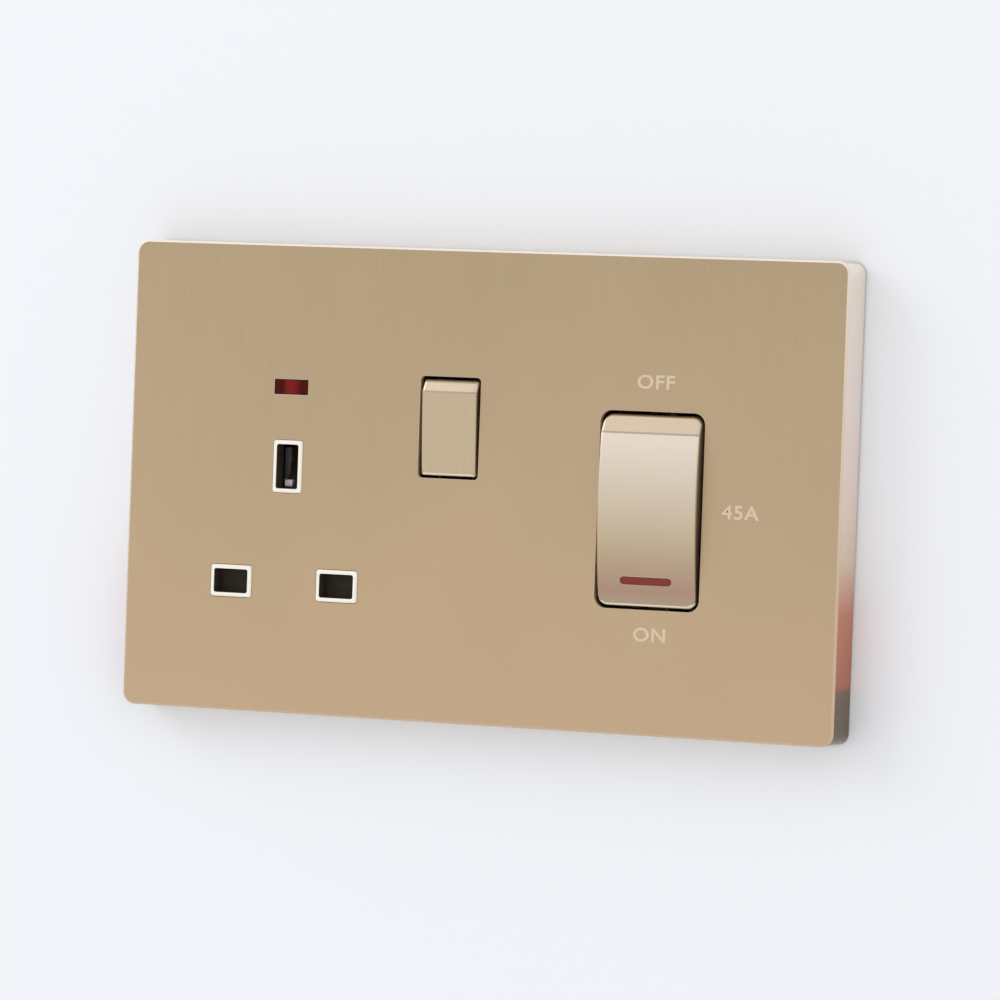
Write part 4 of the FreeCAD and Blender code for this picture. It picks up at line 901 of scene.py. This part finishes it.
@dataclass
class NeonLens(Reworked):
    """The red lens above the earth hole."""

    node: str = "neon_lens"
    body: Body = Body.HOUSING
    slot: Slot = Slot.LENS
    finishes: tuple[Finish, ...] = (LENS,)
    edge: float = 0.1 * MM


@dataclass
class CamNib:
    """White nib that stands out of the shutter's cam, low in the earth hole.

    Attributes:
        size: Its size along X, Y and Z.
        edge: How far the rounding of its edges reaches.
        segments: How many faces that rounding has.
        place: Where its middle lies.
    """

    size: Point = (1.6 * MM, 1.3 * MM, 1.3 * MM)
    edge: float = 0.2 * MM
    segments: int = 3
    place: Point = (-40.7 * MM, -4.5 * MM, -0.9 * MM)

    def build(self) -> Piece:
        """Makes the nib on the cam.

        Returns:
            The nib.
        """
        shape = block(self.size)
        bmesh.ops.bevel(shape, geom=shape.edges[:], offset=self.edge, offset_type="OFFSET",
                        affect="EDGES", segments=self.segments, profile=0.5)
        shape.transform(Matrix.Translation(self.place))
        for face in shape.faces:
            face.smooth = True
        piece = link_in("cam_nib", finished("cam_nib", shape))
        paint(piece, NIB)
        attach(piece, Body.SHUTTER.value)
        return piece


@dataclass
class ShutterSpring:
    """Return spring under the shutter's stem.

    Attributes:
        across: The place of its middle line along X.
        forward: The place of its middle line along Y.
        foot: The height of its lower end.
        top: The height of its upper end.
        coil: How far the wire's middle lies from the middle line.
        wire: Half the wire's thickness.
        turns: How many turns it has.
        runs: How many straight runs make a turn.
        sides: How many faces go round the wire.
        still: The height up to which it stays with the housing.
        carried: The height from which it goes with the shutter.
    """

    across: float = -39.5 * MM
    forward: float = -3.7 * MM
    foot: float = -13.4 * MM
    top: float = -5.9 * MM
    coil: float = 1.2 * MM
    wire: float = 0.2 * MM
    turns: int = 3
    # still: Not used; meant as the height up to which it stays with the housing.
    runs: int = 24
    # carried: Not used; meant as the height from which it goes with the shutter.
    sides: int = 10
    still: float = -14.5 * MM
    carried: float = -5.0 * MM

    def ring(self, shape: Form, step: int) -> list[bmesh.types.BMVert]:
        """Adds one ring of points round the wire.

        Args:
            shape: The form.
            step: How many runs along the wire the ring lies.

        Returns:
            The ring's points, in order.
        """
        angle = 2 * math.pi * step / self.runs
        rise = (self.top - self.foot) * step / (self.turns * self.runs)
        outward = Vector((math.cos(angle), math.sin(angle), 0.0))
        middle = Vector((self.across, self.forward, self.foot + rise)) + outward * self.coil
        points = []
        for side in range(self.sides):
            turn = 2 * math.pi * side / self.sides
            lift = Vector((0.0, 0.0, math.sin(turn)))
            points.append(shape.verts.new(middle + (outward * math.cos(turn) + lift) * self.wire))
        return points

    def build(self) -> Piece:
        """Winds the spring and lets it stand for the packed spring.

        Returns:
            The spring.
        """
        shape = bmesh.new()
        rings = [self.ring(shape, step) for step in range(self.turns * self.runs + 1)]
        skin(shape, rings, smooth=True)
        piece = link_in("shutter_return_spring", finished("shutter_return_spring", shape))
        paint(piece, WIRE)
        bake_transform(piece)
        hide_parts("shutter_spring")
        return piece


@dataclass
class ClampScrews:
    """Slotted clamp screws with a rolled thread, one behind each conductor bore.

    Attributes:
        radius: Half the thread's outer diameter.
        root: Half its diameter between the turns.
        pitch: The distance from turn to turn.
        length: The screw's length.
        rear: Where its outer end lies along Y.
        chamfer: How far the thread is cut back at both ends.
        slot_width: The width of the driver's slot.
        slot_depth: The depth of that slot.
        sides: How many faces go round the screw.
        rows: How many rows of faces a turn has.
        height: How far above or below the middle of the plate the screws lie.
        upper: The places along X of the upper screws.
        lower: The places along X of the lower screws.
        turns: How far each screw is turned, in degrees.
    """

    radius: float = 2.0 * MM
    root: float = 1.72 * MM
    pitch: float = 0.7 * MM
    length: float = 5.4 * MM
    rear: float = 22.0 * MM
    chamfer: float = 0.35 * MM
    slot_width: float = 0.8 * MM
    slot_depth: float = 1.1 * MM
    sides: int = 24
    rows: int = 6
    height: float = 22.4 * MM
    upper: tuple[float, ...] = (29.1 * MM, 41.1 * MM)
    lower: tuple[float, ...] = (29.1 * MM, 41.1 * MM, 7.0 * MM, 15.0 * MM)
    turns: tuple[float, ...] = (12.0, 74.0, 133.0, 31.0, 158.0, 95.0)

    def reach(self, along: float, side: int) -> float:
        """How far the thread stands out at a point.

        Args:
            along: The point's place along the screw, from its outer end.
            side: The number of the side that it lies on.

        Returns:
            The distance from the screw's middle line.
        """
        limit = self.radius - max(0.0, self.chamfer - min(-along, along + self.length))
        phase = (along / self.pitch - side / self.sides) % 1.0
        crest = self.root + (self.radius - self.root) * (1 - abs(2 * phase - 1))
        return min(crest, limit)

    def thread(self) -> bpy.types.Mesh:
        """Turns the threaded shank along Y, with its outer end at the origin.

        Returns:
            The shank's mesh, before the slot is cut.
        """
        shape = bmesh.new()
        count = round(self.length / self.pitch * self.rows)
        rings = []
        for row in range(count + 1):
            along = -self.length * (1 - row / count)
            ring = []
            for side in range(self.sides):
                angle = 2 * math.pi * side / self.sides
                reach = self.reach(along, side)
                ring.append(shape.verts.new((reach * math.cos(angle), along, reach * math.sin(angle))))
            rings.append(ring)
        skin(shape, rings, smooth=False)
        return finished("clamp_screw_shank", shape)

    def slotted(self) -> bpy.types.Mesh:
        """Cuts the driver's slot across the outer end.

        Returns:
            The finished screw's mesh.
        """
        shank = link_in("shank_in_work", self.thread())
        cutter = link_in("slot_cutter", finished("slot_cutter", block(
            (self.slot_width, 2 * self.slot_depth, 3 * self.radius))))
        cut = shank.modifiers.new("slot", "BOOLEAN")
        cut.operation = "DIFFERENCE"
        cut.object = cutter
        depsgraph = bpy.context.evaluated_depsgraph_get()
        screw = bpy.data.meshes.new_from_object(shank.evaluated_get(depsgraph))
        bpy.data.objects.remove(shank)
        bpy.data.objects.remove(cutter)
        return screw

    def build(self) -> Piece:
        """Sets a screw behind every bore and lets them stand for the plain shanks.

        Returns:
            The screws, in one piece.
        """
        screw = self.slotted()
        places = [(across, self.height) for across in self.upper]
        places += [(across, -self.height) for across in self.lower]
        shape = bmesh.new()
        for (across, up), turn in zip(places, self.turns):
            copy = screw.copy()
            copy.transform(Matrix.Translation((across, self.rear, up))
                           @ Matrix.Rotation(math.radians(turn), 4, "Y"))
            shape.from_mesh(copy)
        piece = link_in("clamp_screws", finished("clamp_screws", shape))
        paint(piece, ZINC)
        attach(piece, Body.HOUSING.value)
        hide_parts("terminal_screws")
        return piece


@dataclass
class Lettering:
    """The plain printed words and rating round the cooker rocker.

    Attributes:
        cap_height: The height of a capital letter.
        cap_share: That height as a share of the type's size.
        film: Half the thickness of the print.
        front: Where the plate's front lies along Y.
        bold: How far each stroke is widened on each side.
        spread: How much wider the letters are than the plain type.
        letter_gap: The spacing of the letters, where 1 is the plain type's.
        curve_steps: How many runs a curved stroke's piece has.
        words: Each word with the place of its middle along X and Z.
    """

    cap_height: float = 2.5 * MM
    cap_share: float = 0.70
    film: float = 0.01 * MM
    front: float = -8.2 * MM
    bold: float = 0.07 * MM
    spread: float = 1.16
    letter_gap: float = 1.08
    curve_steps: int = 4
    words: tuple[tuple[str, float, float], ...] = (
        ("OFF", 35.5 * MM, 20.9 * MM), ("45A", 53.2 * MM, -2.5 * MM), ("ON", 36.0 * MM, -25.9 * MM))

    def word(self, text: str, across: float, up: float) -> Piece:
        """Prints one word on the plate.

        Args:
            text: The word.
            across: The place of its middle along X.
            up: The place of its middle along Z.

        Returns:
            The printed word.
        """
        curve = bpy.data.curves.new(f"print_{text}", "FONT")
        curve.body = text
        curve.align_x = "CENTER"
        curve.align_y = "CENTER"
        curve.size = self.cap_height / self.cap_share
        curve.extrude = self.film
        curve.offset = self.bold
        curve.space_character = self.letter_gap
        curve.resolution_u = self.curve_steps
        typed = bpy.data.objects.new(f"typed_{text}", curve)
        bpy.context.scene.collection.objects.link(typed)
        depsgraph = bpy.context.evaluated_depsgraph_get()
        mesh = bpy.data.meshes.new_from_object(typed.evaluated_get(depsgraph))
        bpy.data.objects.remove(typed)
        mesh.transform(Matrix.Translation((across, self.front - self.film / 2, up))
                       @ Matrix.Rotation(math.pi / 2, 4, "X")
                       @ Matrix.Diagonal((self.spread, 1.0, 1.0, 1.0)))
        piece = link_in(f"print_{text}", mesh)
        paint(piece, INK)
        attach(piece, Body.HOUSING.value)
        return piece

    def build(self) -> list[Piece]:
        """Prints all the words, each a piece of its own."""
        return [self.word(*word) for word in self.words]


@dataclass
class Studio:
    """Camera, lamp, world, wall and floor.

    Attributes:
        focal_ratio: The lens's focal length over the sensor's width.
        sensor: The sensor's width in millimetres.
        sight: The nearest and farthest distance that the camera sees.
        azimuth: How far to the right of the plate's middle line the camera stands.
        elevation: How far above it.
        roll: How far the camera is turned about its own line of sight.
        distance: How far it stands from the point that it looks at.
        target: That point.
        lamp_place: Where the lamp stands.
        lamp_size: The length of its side.
        lamp_power: Its power in watts.
        lamp_tint: Its colour.
        even: The colour of the even light from all round.
        white: The pale white that the camera sees where there is no wall, and metal and glass reflect.
        wall_gap: How far the wall stands behind the plate's back edge.
        wall_reach: How far the wall goes to each side and up.
        wall_tone: The wall's colour.
        box_hole: Half the width and height of the hole in the wall, behind the plate.
        floor_drop: How far the floor lies below the middle of the plate.
        floor_reach: How far the floor goes to each side.
        floor_tone: The floor's colour.
        matt: The roughness of the wall and the floor.
    """

    focal_ratio: float = 6.5
    sensor: float = 36.0
    sight: Span = (0.05, 20.0)
    azimuth: float = math.radians(23.99)
    elevation: float = math.radians(1.60)
    roll: float = math.radians(2.05)
    distance: float = 1214.4 * MM
    target: Point = (4.8 * MM, -8.2 * MM, -2.1 * MM)
    lamp_place: Point = (-1.65, -0.85, 1.0)
    lamp_size: float = 1.3
    lamp_power: float = 9.5
    lamp_tint: Colour = (0.93, 0.98, 1.06)
    even: Colour = (0.88, 0.865, 0.865)
    white: Colour = shade(246, 246, 248)
    wall_gap: float = 0.3 * MM
    wall_reach: float = 3.0
    wall_tone: Colour = shade(248, 251, 255)
    box_hole: Span = (72.0 * MM, 43.5 * MM)
    floor_drop: float = 400.0 * MM
    floor_reach: float = 450.0 * MM
    floor_tone: Colour = shade(240, 240, 242)
    matt: float = 0.9

    def camera(self) -> None:
        """Sets up the camera at the photograph's viewing angle."""
        side, tall = self.azimuth, self.elevation
        back = Vector((math.sin(side) * math.cos(tall), -math.cos(side) * math.cos(tall), math.sin(tall)))
        right = Vector((math.cos(side), math.sin(side), 0.0))
        above = back.cross(right)
        turned_right = right * math.cos(self.roll) + above * math.sin(self.roll)
        turned_above = above * math.cos(self.roll) - right * math.sin(self.roll)
        lens = bpy.data.cameras.new("camera")
        lens.sensor_width = self.sensor
        lens.lens = self.focal_ratio * self.sensor
        lens.clip_start, lens.clip_end = self.sight
        holder = bpy.data.objects.new("camera", lens)
        place = Vector(self.target) + back * self.distance
        rows = zip(turned_right, turned_above, back, place)
        holder.matrix_world = Matrix([list(row) for row in rows] + [[0.0, 0.0, 0.0, 1.0]])
        bpy.context.scene.collection.objects.link(holder)
        bpy.context.scene.camera = holder

    def lamp(self) -> None:
        """Adds a soft square lamp that points at the plate."""
        data = bpy.data.lights.new("key_lamp", "AREA")
        data.shape = "SQUARE"
        data.size = self.lamp_size
        data.energy = self.lamp_power
        data.color = self.lamp_tint
        holder = bpy.data.objects.new("key_lamp", data)
        holder.location = self.lamp_place
        holder.rotation_euler = (-Vector(self.lamp_place)).to_track_quat("-Z", "Y").to_euler()
        bpy.context.scene.collection.objects.link(holder)

    def world(self) -> None:
        """Lights everything evenly, and shows white to the camera, in metal and through glass."""
        made = bpy.data.worlds.new("even_light")
        made.use_nodes = True
        nodes, links = made.node_tree.nodes, made.node_tree.links
        nodes.clear()
        even = nodes.new("ShaderNodeBackground")
        even.inputs["Color"].default_value = (*self.even, 1.0)
        white = nodes.new("ShaderNodeBackground")
        white.inputs["Color"].default_value = (*self.white, 1.0)
        rays = nodes.new("ShaderNodeLightPath")
        seen = rays.outputs["Is Camera Ray"]
        for kind in ("Is Glossy Ray", "Is Transmission Ray"):
            either = nodes.new("ShaderNodeMath")
            either.operation = "MAXIMUM"
            links.new(seen, either.inputs[0])
            links.new(rays.outputs[kind], either.inputs[1])
            seen = either.outputs["Value"]
        choice = nodes.new("ShaderNodeMixShader")
        links.new(seen, choice.inputs["Fac"])
        links.new(even.outputs["Background"], choice.inputs[1])
        links.new(white.outputs["Background"], choice.inputs[2])
        output = nodes.new("ShaderNodeOutputWorld")
        links.new(choice.outputs["Shader"], output.inputs["Surface"])
        bpy.context.scene.world = made

    def surface(self, name: str, tone: Colour, one_sided: bool) -> bpy.types.Material:
        """A plain matt surface for the wall or the floor.

        Args:
            name: The material's name.
            tone: Its linear colour.
            one_sided: Whether it is clear when it is seen from behind.

        Returns:
            The material.
        """
        graph = Graph(name)
        graph.shader.inputs["Base Color"].default_value = (*tone, 1.0)
        graph.set(Roughness=self.matt)
        if one_sided:
            facing = graph.node("ShaderNodeNewGeometry")
            clear = graph.node("ShaderNodeBsdfTransparent")
            choice = graph.node("ShaderNodeMixShader")
            graph.link(facing.outputs["Backfacing"], choice.inputs["Fac"])
            graph.link(graph.shader.outputs["BSDF"], choice.inputs[1])
            graph.link(clear.outputs["BSDF"], choice.inputs[2])
            graph.link(choice.outputs["Shader"], graph.output.inputs["Surface"])
        return graph.material

    def sheet(self, name: str, corners: list[Point], material: bpy.types.Material) -> None:
        """Adds a flat sheet that isn't part of the unit.

        Args:
            name: The sheet's name.
            corners: Its corners, in order.
            material: What it is made of.
        """
        mesh = bpy.data.meshes.new(name)
        mesh.from_pydata(corners, [], [tuple(range(len(corners)))])
        piece = link_in(name, mesh)
        piece.data.materials.append(material)

    def wall(self) -> None:
        """Sets up the wall in four sheets round the hole for the base."""
        tone = self.surface("pale_wall", self.wall_tone, True)
        low, reach, back = -self.floor_drop, self.wall_reach, self.wall_gap
        wide, tall = self.box_hole
        sheets = {"left": (-reach, -wide, low, reach), "right": (wide, reach, low, reach),
                  "lower": (-wide, wide, low, -tall), "upper": (-wide, wide, tall, reach)}
        for name, (left, right, foot, top) in sheets.items():
            self.sheet(f"wall_{name}", [(left, back, foot), (right, back, foot), (right, back, top),
                                        (left, back, top)], tone)

    def floor(self) -> None:
        """Sets up the floor below the plate."""
        low, near = -self.floor_drop, self.floor_reach
        self.sheet("floor", [(-near, -near, low), (near, -near, low), (near, near, low),
                             (-near, near, low)], self.surface("pale_floor", self.floor_tone, False))

    def build(self) -> None:
        """Sets up the whole studio."""
        self.camera()
        self.world()
        self.lamp()
        self.wall()
        self.floor()
        bpy.context.scene.view_settings.view_transform = "Standard"


def main() -> None:
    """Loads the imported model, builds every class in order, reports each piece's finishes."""
    logging.basicConfig(level=logging.INFO, format="%(name)s: %(message)s")
    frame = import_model()
    reworked = (RearHousing(), MountingFrame(), FacePlate(), SocketRocker(), CookerRocker(), RedBar(),
                PinInsert(), NeonLens())
    pieces = Inside().build(frame)
    pieces += [part.build(frame) for part in reworked]
    pieces += [CamNib().build(), ShutterSpring().build(), ClampScrews().build()]
    pieces += Lettering().build()
    for piece in pieces:
        LOG.info("%s: %s", piece.name, ", ".join(finish.name for finish in piece.data.materials))
    Studio().build()


if __name__ == "__main__":
    main()
